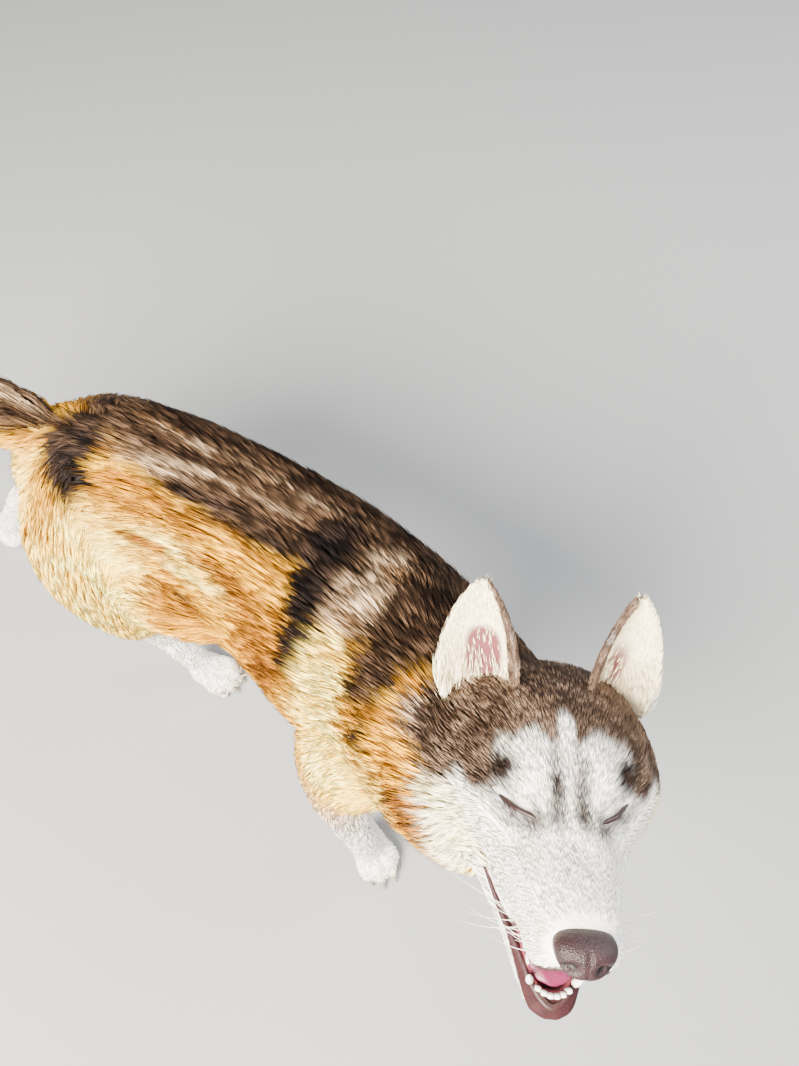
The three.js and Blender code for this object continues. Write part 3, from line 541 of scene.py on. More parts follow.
HEAD_MARKS = [
    ("cheek_warm", WARM, (-52, 98, -68), (52, 46, 48), 0, 0.4),
    ("nape_cap", CAP, (-152, 0, 6), (40, 84, 56), 0, 0.2),
    ("crown", CAP, (-92, 0, 44), (60, 96, 50), 0, 0.14),
    ("temple", CAP, (-60, 72, 14), (34, 26, 26), 0, 0.24),
    ("mask_side", CAP, (-84, 100, -2), (42, 38, 36), 0, 0.2),
    ("ear_back", CAP, (-128, 70, 60), (36, 58, 104), 0, 0.12),
    ("brow", WHITE, (-24, 31, 30), (24, 15, 16), 16, 0.3),
    ("blaze", WHITE, (-38, 0, 38), (24, 6.5, 16), 0, 0.35),
    ("temple_fore", CAP, (-38, 65, 2), (24, 17, 15), 0, 0.35),
    ("brow_low", WHITE, (-22, 31, 26), (21, 14, 18), 16, 0.3),
    ("stripe", ASH, (-6, 9.5, 18), (25, 6.2, 16), 0, 0.8),
    ("stripe_low", ASH, (13, 10.5, 6), (12, 6.5, 10), 0, 0.8),
    ("brow_spot", SOOT, (-27, 49, 11), (12, 12, 14), 30, 0.55),
    ("eye_shade", ASH, (12, 26, -3), (9, 7, 16), -40, 0.9),
    ("eye_line", ASH, (-1, 40, -4), (20, 5.5, 16), -42, 0.9),
]


def node(tree, kind, **values):
    made = tree.nodes.new(kind)
    for key, value in values.items():
        setattr(made, key, value)
    return made


def blend(tree, factor, under, over):
    """A colour mix. Factor and colours are sockets or plain values."""
    mix = node(tree, "ShaderNodeMix", data_type="RGBA")
    for socket, value in ((mix.inputs[0], factor), (mix.inputs[6], under), (mix.inputs[7], over)):
        if isinstance(value, bpy.types.NodeSocket):
            tree.links.new(value, socket)
        else:
            socket.default_value = value if isinstance(value, float) else (*value, 1)
    return mix.outputs[2]


def sums(tree, operation, first, second=0.0, third=None):
    made = node(tree, "ShaderNodeMath", operation=operation)
    for socket, value in zip(made.inputs, (first, second, third)):
        if isinstance(value, bpy.types.NodeSocket):
            tree.links.new(value, socket)
        elif value is not None:
            socket.default_value = value
    return made.outputs[0]


def speckle(tree, place, scale, detail=2.0, stretch=(1, 1, 1)):
    mapping = node(tree, "ShaderNodeMapping")
    mapping.inputs["Scale"].default_value = stretch
    tree.links.new(place, mapping.inputs["Vector"])
    texture = node(tree, "ShaderNodeTexNoise")
    texture.inputs["Scale"].default_value = scale
    texture.inputs["Detail"].default_value = detail
    tree.links.new(mapping.outputs[0], texture.inputs["Vector"])
    return texture


def spread(tree, value, low, high, to_low=0.0, to_high=1.0):
    made = node(tree, "ShaderNodeMapRange", interpolation_type="SMOOTHSTEP")
    for socket, number in zip(list(made.inputs)[1:5], (low, high, to_low, to_high)):
        socket.default_value = number
    tree.links.new(value, made.inputs[0])
    return made.outputs[0]


markings = bpy.data.node_groups.new("husky_markings", "ShaderNodeTree")
markings.interface.new_socket("Place", in_out="INPUT", socket_type="NodeSocketVector")
markings.interface.new_socket("Inner", in_out="INPUT", socket_type="NodeSocketFloat")
markings.interface.new_socket("Color", in_out="OUTPUT", socket_type="NodeSocketColor")
group_in = markings.nodes.new("NodeGroupInput")
group_out = markings.nodes.new("NodeGroupOutput")
ragged = speckle(markings, group_in.outputs["Place"], 55, 3)


def frayed(width):
    """The place, shifted to and fro over a width in metres, which frays the patches' edges."""
    shift = node(markings, "ShaderNodeVectorMath", operation="MULTIPLY_ADD")
    markings.links.new(ragged.outputs["Color"], shift.inputs[0])
    shift.inputs[1].default_value = (width,) * 3
    shift.inputs[2].default_value = (-width / 2,) * 3
    moved = node(markings, "ShaderNodeVectorMath", operation="ADD")
    markings.links.new(group_in.outputs["Place"], moved.inputs[0])
    markings.links.new(shift.outputs[0], moved.inputs[1])
    return moved.outputs[0]


streak = speckle(markings, group_in.outputs["Place"], 60, 3, (0.35, 1, 1.3))
streak = spread(markings, streak.outputs["Fac"], 0.36, 0.66)
palette = {name: blend(markings, streak, dark, light) for name, (dark, light) in COAT_COLOURS.items()}


def soft_ball(place, centre, radii, full, none, turn=0, name=""):
    """A mask that is 1 inside a stretched ball and fades to 0 between two shares of its radii."""
    ball = node(markings, "ShaderNodeMapping", vector_type="TEXTURE", label=name)
    ball.inputs["Location"].default_value = Vector(centre) * MM
    ball.inputs["Rotation"].default_value = (0, 0, radians(turn))
    ball.inputs["Scale"].default_value = Vector(radii) * MM
    markings.links.new(place, ball.inputs["Vector"])
    reach = node(markings, "ShaderNodeVectorMath", operation="LENGTH")
    markings.links.new(ball.outputs[0], reach.inputs[0])
    return spread(markings, reach.outputs["Value"], full, none, 1.0, 0.0)


def marked(place, start, rows):
    """The colours of one frame, patch over patch."""
    colour = start
    for name, tint, centre, radii, turn, soft in rows:
        mask = soft_ball(place, centre, radii, 1 - soft, 1 + soft, turn, name)
        colour = blend(markings, mask, colour, palette[tint])
    return colour


def in_frame(place, frame_matrix):
    """A place measured from another frame: turned with a texture mapping."""
    made = node(markings, "ShaderNodeMapping", vector_type="TEXTURE")
    made.inputs["Location"].default_value = frame_matrix.translation
    made.inputs["Rotation"].default_value = frame_matrix.to_euler()
    markings.links.new(place, made.inputs["Vector"])
    return made.outputs[0]


body_place = in_frame(frayed(0.030), BODY_PLACE)
body_colour = marked(body_place, palette[GOLD], BODY_MARKS)
head_place = in_frame(frayed(0.010), HEAD_PLACE)
apart = node(markings, "ShaderNodeSeparateXYZ")
markings.links.new(head_place, apart.inputs[0])
folded = node(markings, "ShaderNodeCombineXYZ")
markings.links.new(apart.outputs[0], folded.inputs[0])
markings.links.new(sums(markings, "ABSOLUTE", apart.outputs[1]), folded.inputs[1])
markings.links.new(apart.outputs[2], folded.inputs[2])
head_colour = marked(folded.outputs[0], palette[WHITE], HEAD_MARKS)
bridge = speckle(markings, group_in.outputs["Place"], 190, 2)
bridge_dark = spread(markings, bridge.outputs["Fac"], 0.52, 0.7, 0.0, 0.75)
bridge_mask = soft_ball(head_place, (52, 0, -4), (46, 16, 20), 0.3, 1.2)
bridge_mask = sums(markings, "MULTIPLY", bridge_dark, bridge_mask)
head_colour = blend(markings, bridge_mask, head_colour, (0.20, 0.16, 0.15))
# Where the head's colours give way to the neck's
on_head_mask = sums(
    markings, "MAXIMUM",
    soft_ball(head_place, (-42, 0, -30), (106, 119, 108), 0.92, 1.06),
    spread(markings, apart.outputs[0], -0.02, 0.0),
)
cap_mask = soft_ball(head_place, (-80, 0, 12), (80, 142, 64), 0.92, 1.06)
on_head_mask = sums(markings, "MAXIMUM", on_head_mask, cap_mask)
ears_up = sums(
    markings, "MULTIPLY",
    spread(markings, apart.outputs[2], 0.026, 0.036),
    spread(markings, apart.outputs[0], -0.165, -0.155),
)
on_head_mask = sums(markings, "MAXIMUM", on_head_mask, ears_up)
whole_colour = blend(markings, on_head_mask, body_colour, head_colour)
bare_ear = spread(markings, group_in.outputs["Inner"], 1.1, 1.8)
inner_ear = blend(markings, bare_ear, (1.0, 0.88, 0.62), (0.13, 0.032, 0.040))
whole_colour = blend(markings, spread(markings, group_in.outputs["Inner"], 0.3, 0.8), whole_colour, inner_ear)
markings.links.new(whole_colour, group_out.inputs["Color"])


def finish(name, roughness, specular):
    material = bpy.data.materials.new(name)
    material.use_nodes = True
    surface = material.node_tree.nodes["Principled BSDF"]
    surface.inputs["Roughness"].default_value = roughness
    surface.inputs["Specular IOR Level"].default_value = specular
    return material, material.node_tree, surface


def raise_by(tree, surface, height, distance, strength=0.6):
    bump = node(tree, "ShaderNodeBump")
    bump.inputs["Distance"].default_value = distance
    bump.inputs["Strength"].default_value = strength
    tree.links.new(height, bump.inputs["Height"])
    tree.links.new(bump.outputs[0], surface.inputs["Normal"])


def fasten(piece, material, slot, *solids):
    """Gives a piece its finish and lets it stand for its solids on the root. The slot is not used."""
    piece.data.materials.append(material)
    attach(piece, "root")
    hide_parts(*solids)


def object_place(tree):
    return node(tree, "ShaderNodeTexCoord").outputs["Object"]


def stored(tree, name):
    """What the piece's own attribute of this name says at each point."""
    return node(tree, "ShaderNodeAttribute", attribute_name=name)


def markings_in(tree, place, inner=None):
    group = node(tree, "ShaderNodeGroup", node_tree=markings)
    tree.links.new(place, group.inputs["Place"])
    if inner is not None:
        tree.links.new(inner, group.inputs["Inner"])
    return group.outputs["Color"]


hide, tree, surface = finish("short_coat", 0.75, 0.2)
coords = object_place(tree)
under = markings_in(tree, coords)
fibres = speckle(tree, coords, 420, 3, (0.3, 1, 1))
under = blend(tree, spread(tree, fibres.outputs["Fac"], 0.3, 0.7, 0.12, 0.0), under, (0.08, 0.05, 0.035))
flesh = stored(tree, "mouth")
mouth_tone = speckle(tree, coords, 140, 2)
mouth_colour = blend(tree, mouth_tone.outputs["Fac"], (0.070, 0.008, 0.018), (0.20, 0.030, 0.050))
under = blend(tree, flesh.outputs["Fac"], under, mouth_colour)
rim_of_mouth = stored(tree, "lip")
lip_colour = blend(tree, mouth_tone.outputs["Fac"], (0.012, 0.003, 0.004), (0.050, 0.011, 0.014))
under = blend(tree, rim_of_mouth.outputs["Fac"], under, lip_colour)
tree.links.new(under, surface.inputs["Base Color"])
raise_by(tree, surface, fibres.outputs["Fac"], 0.0015)
FLESH_NODES = [
    "torso", "neck", "head", "lower_jaw", "tail", "foreleg_right", "foreleg_left", "hindleg_right",
    "hindleg_left", "forepaw_right", "forepaw_left", "hindpaw_right", "hindpaw_left",
    "eyelids_left", "eyelids_right",
]
fasten(skin, hide, "coat_golden", *FLESH_NODES)

# Ears
# Two pricked ears of thin cartilage, cupped to the front: brown fur outside, cream hair over
# mauve-pink skin within.
EARS = {"left": (1, (-114, 55, 6), (-117, 61, 122)), "right": (-1, (-114, -62, 6), (-118, -71, 126))}
EAR_WIDTH = 70
EAR_THICKNESS = 0.0042
SORTING_WAY = Vector((1, 0.3719, 0.2113))
# How bare the inside of each ear is, and how far across it the cup shows
BARE_SHARE = {"left": 0.8, "right": 1.6}
CUP_REACH = {"left": 0.50, "right": 0.74}


def ear_half(w, foot=0.12, top=1.0):
    """Half the ear's width at a share of its height."""
    return 3 + EAR_WIDTH * (max(w, 0.0) + foot) ** 0.5 * max(top - w, 0.0) ** 0.75 * 0.93


ears = {}
for name, (hand, root, tip) in EARS.items():
    bm = bmesh.new()
    made = bmesh.ops.create_grid(bm, x_segments=28, y_segments=18, size=1)["verts"]
    root, rise = Vector(root), Vector(tip) - Vector(root)
    facing = Vector((0.86, hand * 0.42, 0.1))
    facing = (facing - rise * facing.dot(rise) / rise.length_squared).normalized()
    side = rise.normalized().cross(facing)
    for v in made:
        u, w = v.co.y, 0.5 + 0.5 * v.co.x
        cup = 25 * (1 - w) ** 0.7 + 3
        at = root + rise * (w * (1 - 0.04 * u * u) - 0.02) + side * (u * ear_half(w))
        at += facing * (cup * (u * u - 0.6))
        v.co = HEAD_PLACE @ (at * MM)
    bmesh.ops.remove_doubles(bm, verts=bm.verts, dist=0.0002)
    bmesh.ops.recalc_face_normals(bm, faces=bm.faces)
    out = HEAD_PLACE.to_3x3() @ facing
    if sum(f.normal.dot(out) for f in bm.faces) < 0:
        bmesh.ops.reverse_faces(bm, faces=bm.faces)
    front = list(bm.faces)
    bmesh.ops.solidify(bm, geom=front, thickness=EAR_THICKNESS)
    # The new faces and edges come in another order each run, so they are set in a fixed one.
    bm.faces.sort(key=lambda f: f.calc_center_median().dot(SORTING_WAY))
    bm.edges.sort(key=lambda e: (e.verts[0].co + e.verts[1].co).dot(SORTING_WAY))
    eased(bm, bm.verts, 1, 0.4)
    ear = new_piece("ear_" + name + "_leather", bm)
    inner = ear.data.attributes.new("inner", "FLOAT", "POINT")
    values = np.zeros(len(ear.data.vertices), np.float32)
    for v in ear.data.vertices:
        p = (to_head @ v.co) / MM - root
        up_ear = p.dot(rise) / rise.length_squared
        off = p.dot(side) / 33
        bare = max(0.0, 1 - (off / 0.62) ** 2) * max(0.0, 1 - ((up_ear - 0.34) / 0.32) ** 2)
        towards_crown = p.dot(side) / ear_half(up_ear, 0.14, 0.98) * np.sign(-hand * side.y)
        if v.normal.dot(out) > 0.12 and towards_crown < CUP_REACH[name]:
            values[v.index] = 1.0 + min(1.0, BARE_SHARE[name] * bare)
    inner.data.foreach_set("value", values)
    unwrap(ear)
    ears[name] = (ear, out)

ear_hide, tree, surface = finish("ear_coat", 0.7, 0.25)
coords = object_place(tree)
inner = stored(tree, "inner")
under = markings_in(tree, coords, inner.outputs["Fac"])
fibres = speckle(tree, coords, 520, 3, (1, 1, 0.3))
under = blend(tree, spread(tree, fibres.outputs["Fac"], 0.3, 0.7, 0.22, 0.0), under, (0.20, 0.11, 0.08))
tree.links.new(under, surface.inputs["Base Color"])
raise_by(tree, surface, fibres.outputs["Fac"], 0.001)
for name, (ear, _) in ears.items():
    fasten(ear, ear_hide, "coat_back", "ear_" + name)

# Nose leather
# Liver-brown, pebbled and moist, with round nostrils that open into a slit at the side, and a
# groove down the middle.
bm = bmesh.new()
bmesh.ops.create_icosphere(bm, subdivisions=5, radius=1)
NOSE_AT = Vector((99, 0, -30))
NOSE_HOLLOWS = [((13.5, 8.6, -4.5), 4.2, -6.0), ((10, 14.8, -5), 3.4, -3.4), ((12, 11.8, -5), 3.0, -3.0)]
nostril_shade = bm.verts.layers.float.new("nostril_shade")
for v in bm.verts:
    p = Vector([np.sign(c) * abs(c) ** 0.86 for c in v.co])
    p = Vector((p.x * 16.5, p.y * 21.0, p.z * (14.0 if p.z > 0 else 17.0)))
    p.y *= 1 + 0.20 * (p.z / 16)
    p.x -= 2.5 * max(p.z / 14, 0) ** 2
    for (x, y, z), radius, by in NOSE_HOLLOWS:
        gap = (Vector((p.x, abs(p.y), p.z)) - Vector((x, y, z))).length
        p.x += by * swell(gap, radius)
        v[nostril_shade] = max(v[nostril_shade], swell(gap, radius))
    p.x -= 1.5 * swell(p.y, 1.3) * (p.z < 9) * (p.x > 4)
    p = Matrix.Rotation(radians(-18), 3, "Y") @ p
    v.co = HEAD_PLACE @ ((NOSE_AT + p) * MM)
nose = new_piece("nose_leather", bm)
unwrap(nose)


def cells(tree, place, scale):
    texture = node(tree, "ShaderNodeTexVoronoi")
    texture.inputs["Scale"].default_value = scale
    tree.links.new(place, texture.inputs["Vector"])
    return texture.outputs["Distance"]


leather, tree, surface = finish("nose_leather", 0.5, 0.4)
coords = object_place(tree)
pebbles = cells(tree, coords, 900)
tone = speckle(tree, coords, 120, 3)
brown = blend(tree, tone.outputs["Fac"], (0.010, 0.003, 0.0045), (0.030, 0.009, 0.012))
between = spread(tree, pebbles, 0.35, 0.75, 0.0, 0.5)
brown = blend(tree, between, brown, (0.012, 0.004, 0.004))
# The nostril hollows are painted near-black: painted shade in the recesses.
hollow = stored(tree, "nostril_shade")
brown = blend(tree, spread(tree, hollow.outputs["Fac"], 0.45, 0.8), brown, (0.002, 0.001, 0.001))
tree.links.new(brown, surface.inputs["Base Color"])
raise_by(tree, surface, pebbles, 0.0006, 0.7)
fasten(nose, leather, "leather", "nose")

# Lips and eye slits
# Thin liver-brown rims that follow the edges of the mouth, and the lines of the closed lids.
skin_tree = search_tree(skin)


def rim(bm, points, place, steps, radius, proud, flat=1.0):
    """A tapered cord laid on the skin along a path measured in the head's or the jaw's frame."""
    path, normals = [], []
    for p in smooth_path(points, steps):
        at = place @ (Vector(p) * MM)
        near, normal, _, _ = skin_tree.find_nearest(at)
        path.append(np.array(near + normal * proud * MM))
        normals.append(np.array(normal))
    path = np.array(path)
    for _ in range(2):
        path[1:-1] = (path[:-2] + 2 * path[1:-1] + path[2:]) / 4
    along = unit(np.gradient(path, axis=0))
    normals = np.array(normals)
    normals = unit(normals - along * (normals * along).sum(1, keepdims=True))
    rings = []
    for i, centre in enumerate(path):
        share = i / steps
        size = radius * MM * (0.35 + 0.65 * min(1.0, 5 * share, 5 * (1 - share)))
        ring = bmesh.ops.create_circle(bm, segments=8, radius=1)["verts"]
        across = np.cross(normals[i], along[i])
        for v in ring:
            v.co = Vector(centre + across * v.co.x * size + normals[i] * v.co.y * size * flat)
        rings.append(ring)
    bridged(bm, rings)
    return path


def grained(name, roughness, specular, scale, dark, light, relief=0.0, detail=3, stretch=(1, 1, 1)):
    """A finish with a fine grain that runs from dark to light and stands up by its relief."""
    material, tree, surface = finish(name, roughness, specular)
    coords = object_place(tree)
    grain = speckle(tree, coords, scale, detail, stretch)
    tree.links.new(blend(tree, grain.outputs["Fac"], dark, light), surface.inputs["Base Color"])
    if relief:
        raise_by(tree, surface, grain.outputs["Fac"], relief)
    return material


EYE_SLIT = [(-15, 50, -5), (-8, 44.5, -5), (0, 38, -4), (6, 30.5, -3), (10, 25.5, -2.5)]
# Each bare line with the distance that the tufts keep from it.
bare_paths = []
bm = bmesh.new()
bare_paths.append((rim(bm, mirrored(UPPER_LIP), HEAD_PLACE, 90, 2.9, 0.6), 0.0036))
bare_paths.append((rim(bm, mirrored(LOWER_LIP), JAW_PLACE, 90, 2.9, 0.5), 0.0048))
lips = new_piece("lip_rims", bm)
unwrap(lips)
bm = bmesh.new()
for hand in (1, -1):
    slit = [(x, hand * y, z) for x, y, z in EYE_SLIT]
    bare_paths.append((rim(bm, slit, HEAD_PLACE, 26, 1.9, 0.3, flat=0.8), 0.0026))
slits = new_piece("eye_slits", bm)
unwrap(slits)
for piece, carried, label, dark, light in (
    (lips, ("lower_jaw", "head"), "lip_skin", (0.012, 0.003, 0.004), (0.050, 0.012, 0.015)),
    (slits, ("eyelids_left", "eyelids_right"), "lid_line", (0.007, 0.003, 0.003), (0.030, 0.011, 0.010)),
):
    fasten(piece, grained(label, 0.45, 0.4, 600, dark, light, 0.0005), "leather", *carried)

# Tongue
# A thick pink-mauve tongue that lies in the lower jaw, grooved down the middle and finely rough.
TONGUE = [
    [40, 0, -2, 17, 6, 5, 2.2], [75, 0, 0, 31, 8, 7, 2.5], [112, 0, 0, 26, 6, 5, 2.6],
    [136, 0, 1, 20, 5, 4, 2.5], [149, 0, 2, 13, 3, 3, 2.3], [154, 0, 2, 3, 1, 1, 2.0],
]
tongue_line = spine(TONGUE, 40, place=JAW_PLACE)
bm = bmesh.new()
tube(bm, tongue_line, drawn_in(tongue_line, 0.2, 0.2), 32)
for v in bm.verts:
    p = to_jaw @ v.co
    if p.z > 0.001:
        p.z -= 0.0028 * swell(p.y, 0.004) * min(1.0, (0.15 - p.x) / 0.03)
        p.z += 0.0012 * noise.noise(Vector((p.x * 60, p.y * 90, 0.0)))
    v.co = JAW_PLACE @ p
bmesh.ops.triangulate(bm, faces=[f for f in bm.faces if len(f.verts) > 4])
tongue = new_piece("tongue_flesh", bm)
unwrap(tongue)
wet, tree, surface = finish("tongue_flesh", 0.3, 0.5)
coords = object_place(tree)
papillae = cells(tree, coords, 1100)
tone = speckle(tree, coords, 60, 2)
pink = blend(tree, spread(tree, tone.outputs["Fac"], 0.35, 0.65), (0.070, 0.004, 0.024), (0.16, 0.013, 0.052))
tree.links.new(pink, surface.inputs["Base Color"])
raise_by(tree, surface, papillae, 0.0004, 0.5)
fasten(tongue, wet, "tongue", "tongue")

# Teeth and gums
# Six small incisors between two curved canines above and below, cheek teeth behind the lower
# ones, and a pink gum round the lower row.
bm = bmesh.new()


def tooth(place, at, height, width, lean=(0, 0, 0), depth=None, bend=0.0, up=1):
    made = bmesh.ops.create_icosphere(bm, subdivisions=2, radius=1)["verts"]
    turn = turned(lean[2], "Z") @ turned(lean[1], "Y") @ turned(lean[0], "X")
    for v in made:
        z = 0.5 + 0.5 * v.co.z
        slim = (1.15 - (0.75 if bend else 0.30) * z) * 1.05
        x, y = (np.sign(c) * abs(c) ** (1.0 if bend else 0.6) for c in v.co.xy)
        z = z if bend else 0.5 + 0.5 * np.sign(z - 0.5) * abs(2 * z - 1) ** 0.5
        p = Vector((x * (depth or width) / 2 * slim, y * width / 2 * slim, z * height * up))
        p.x -= bend * z * z
        v.co = place @ ((Vector(at) + (turn @ p.to_4d()).to_3d()) * MM)


for y in (-11.2, -6.8, -2.3, 2.3, 6.8, 11.2):
    tooth(JAW_PLACE, (159.5 - 0.035 * y * y, y, -2), 10.5, 4.6, (0, 14, y * 1.5), 4.0)
    tooth(HEAD_PLACE, (90 - 0.03 * y * y, y, -50), 8, 4.2, (0, 0, y * 1.5), 4.0, 0, -1)
for hand in (1, -1):
    tooth(JAW_PLACE, (150, hand * 16.5, -3), 19, 7.2, (-hand * 12, 8, 0), 7.8, 3)
    tooth(HEAD_PLACE, (84, hand * 20.5, -49), 15, 6.6, (hand * 6, 0, 0), 7.4, 3, -1)
    for x, height in ((136, 4), (126, 4.5), (115, 5.5)):
        y = hand * (17.5 + (136 - x) * 0.22)
        tooth(JAW_PLACE, (x, y, 0), height, 4.4, (-hand * 6, 0, -hand * 8), 8.5)
teeth = new_piece("teeth", bm)
unwrap(teeth)
enamel, tree, surface = finish("enamel", 0.22, 0.5)
coords = object_place(tree)
stain = speckle(tree, coords, 260, 3)
ivory = blend(tree, spread(tree, stain.outputs["Fac"], 0.35, 0.7), (0.96, 0.93, 0.86), (0.82, 0.74, 0.60))
tree.links.new(ivory, surface.inputs["Base Color"])
raise_by(tree, surface, stain.outputs["Fac"], 0.0003, 0.3)
fasten(teeth, enamel, "coat_cream", "lower_jaw")


def cord(bm, path, radii, sides):
    """A round cord along a path of points, closed at both ends."""
    rings = []
    for i, centre in enumerate(path):
        ring = bmesh.ops.create_circle(bm, segments=sides, radius=radii[i])["verts"]
        along = (path[min(i + 1, len(path) - 1)] - path[max(i - 1, 0)]).normalized()
        turn = along.to_track_quat("Z", "Y").to_matrix()
        for v in ring:
            v.co = centre + turn @ v.co
        rings.append(ring)
    bridged(bm, rings)


GUM = [(104, 25, -2), (120, 21.5, -2), (136, 18, -3), (148, 15.5, -3.5), (156, 9, -3.5), (158.5, 0, -3.5)]
GUM_RADIUS = 0.0033
gum_path = [JAW_PLACE @ (Vector(p) * MM) for p in smooth_path(mirrored(GUM), 60)]
bm = bmesh.new()
cord(bm, gum_path, [GUM_RADIUS] * len(gum_path), 10)
gum = new_piece("gum", bm)
unwrap(gum)
gum_flesh = grained("gum_flesh", 0.3, 0.5, 150, (0.10, 0.016, 0.022), (0.26, 0.060, 0.070), 0.0005, 2)
fasten(gum, gum_flesh, "tongue", "lower_jaw")

# Claws
# Blunt horn claws, four to a paw, curved down to the floor from the tips of the toes.
bm = bmesh.new()
for _, standing, _ in LEGLINES.values():
    paw = paw_place(*standing)
    for x, y in TOES:
        for v in bmesh.ops.create_icosphere(bm, subdivisions=2, radius=1)["verts"]:
            run = 0.5 + 0.5 * v.co.z
            slim = 1.25 - 0.8 * run
            p = Vector((x + 15 + 14 * run, y * 1.08 + v.co.y * 2.7 * slim, 0))
            p.z = max(10.5 + v.co.x * 3.4 * slim - 8.5 * run * run, 0.6)
            v.co = paw @ (p * MM)
claws = new_piece("claws", bm)
unwrap(claws)
horn = grained("horn", 0.4, 0.45, 300, (0.10, 0.07, 0.055), (0.42, 0.34, 0.27), 0.0004, 3, (1, 1, 0.2))
fasten(claws, horn, "leather", "forepaw_right", "forepaw_left", "hindpaw_right", "hindpaw_left")

# Coat
# Thick double coat in overlapping tufts of tapered strands. It lies back along the body and down
# the legs, stands deepest on ruff, breeches and tail, and is shortest on face and feet.
fur, tree, surface = finish("long_coat", 0.6, 0.08)
place = stored(tree, "place")
run = stored(tree, "run")
tone = stored(tree, "tone")
inner = stored(tree, "inner")
hair = markings_in(tree, place.outputs["Vector"], inner.outputs["Fac"])
# Each tuft's random tone, times a painted shade that darkens every strand towards its root and lightens it a
# little at the tip.
tone_and_root_shade = sums(tree, "MULTIPLY", tone.outputs["Fac"], spread(tree, run.outputs["Fac"], 0.0, 0.6, 0.80, 1.04))
shaded = node(tree, "ShaderNodeVectorMath", operation="SCALE")
tree.links.new(hair, shaded.inputs[0])
tree.links.new(tone_and_root_shade, shaded.inputs["Scale"])
tree.links.new(shaded.outputs[0], surface.inputs["Base Color"])

# Each part's line, flow along it and fall, and then, over its length, the tufts' length, height
# and width in millimetres and the thousands of strands to a square metre
COAT_PARTS = [
    ("torso", back_line, -1, 0.34, ((0, 38, 8, 1.5, 125), (0.5, 42, 8, 1.55, 124), (1, 44, 9, 1.5, 128))),
    ("neck", neck_line, -1, 0.45, ((0, 48, 11, 1.4, 180), (0.6, 46, 11, 1.3, 210), (1, 28, 7, 1.1, 255))),
    ("tail", tail_line, 1, 0.1, ((0, 50, 10, 1.6, 138), (0.3, 70, 17, 1.9, 128), (0.85, 62, 14, 1.7, 136),
                            (1, 50, 8, 1.6, 140))),
    ("head", head_line, -1, 0.1, ((0, 25, 5, 1.1, 290), (0.35, 17, 3.0, 0.85, 390), (0.5, 11, 1.8, 0.7, 500),
                                  (0.7, 7, 1.2, 0.6, 600), (1, 5, 0.9, 0.55, 640))),
    ("jaw", jaw_line, -1, 0.2, ((0, 18, 4, 1.1, 250), (0.5, 8, 1.8, 0.8, 400), (1, 5, 1.0, 0.6, 500))),
] + [
    (name, line, 1, 0.0, ((0, 38, 8, 1.65, 94), (0.42, 32, 6.5, 1.65, 86), (0.62, 16, 3.0, 1.3, 124),
                          (1, 7, 1.3, 1.0, 204)))
    for name, line in leg_lines.items()
]


def in_head(points):
    """Points measured in the head's own frame, in metres."""
    return (points - np.array(HEAD_PLACE.translation)) @ np.array(HEAD_PLACE.to_3x3())


def point_values(ob, name):
    """What one of a piece's attributes holds, point by point."""
    values = np.zeros(len(ob.data.vertices), np.float32)
    ob.data.attributes[name].data.foreach_get("value", values)
    return values


def nearest_parts(points):
    """For each point, every part's share in it and the place along that part's line."""
    ratios, shares = [], []
    for _, line, *_ in COAT_PARTS:
        size = line["sizes"].mean(axis=1)
        gaps = np.linalg.norm(points[:, None, :] - line["centre"][None], axis=2)
        ratio = gaps / np.maximum(size, 0.018)[None]
        k = ratio.argmin(axis=1)
        ratios.append(ratio[np.arange(len(points)), k])
        shares.append(k)
    ratios = np.array(ratios).T
    weight = np.exp(-(ratios - ratios.min(axis=1, keepdims=True)) * 9)
    return weight / weight.sum(axis=1, keepdims=True), np.array(shares).T


def coat_plan(points, weight, k):
    """Lie, tuft length, height, width and number at each point, blended from part to part."""
    lie = np.zeros_like(points)
    plan = np.zeros((len(points), 4))
    local = in_head(points)
    for i, (name, line, flow, fall, rows) in enumerate(COAT_PARTS):
        t = k[:, i] / (len(line["centre"]) - 1)
        table = np.array(rows)
        values = np.array([np.interp(t, table[:, 0], table[:, c]) for c in range(1, 5)]).T
        way = line["along"][k[:, i]] * flow + np.array([0, 0, -fall])
        if name == "head":
            fan = np.zeros_like(points)
            fan[:, 0] = -1
            fan[:, 1] = np.sign(local[:, 1]) * np.clip(np.abs(local[:, 1]) / 0.06, 0, 1) * 0.55
            fan[:, 2] = np.where(local[:, 2] < -0.02, -0.5, 0.15)
            way = fan @ np.array(HEAD_PLACE.to_3x3()).T
        lie += unit(way) * weight[:, i : i + 1]
        plan += values * weight[:, i : i + 1]
    return unit(lie), plan


# A fixed seed, so that the noise that bends the tufts is the same each run
noise.seed_set(5)
surfaces = {}


def surface_arrays(ob):
    """A piece's points, normals, triangles, map places and search tree, kept once found."""
    if ob.name in surfaces:
        return surfaces[ob.name]
    mesh = ob.data
    mesh.calc_loop_triangles()
    corners = np.zeros(len(mesh.loop_triangles) * 3, np.int32)
    loops = corners.copy()
    mesh.loop_triangles.foreach_get("vertices", corners)
    mesh.loop_triangles.foreach_get("loops", loops)
    at = np.zeros(len(mesh.vertices) * 3, np.float32)
    mesh.vertices.foreach_get("co", at)
    out = at.copy()
    mesh.vertices.foreach_get("normal", out)
    uv = np.zeros(len(mesh.loops) * 2, np.float32)
    mesh.uv_layers["OFBake"].data.foreach_get("uv", uv)
    at, out = at.reshape(-1, 3).astype(float), out.reshape(-1, 3).astype(float)
    corners = corners.reshape(-1, 3)
    uv = uv.reshape(-1, 2).astype(float)[loops.reshape(-1, 3)]
    surfaces[ob.name] = (at, out, corners, uv, search_tree(ob))
    return surfaces[ob.name]


# Share of the way along a strand, and its width there as a share of the widest.
PROFILE = ((0.0, 0.75), (0.5, 1.0))
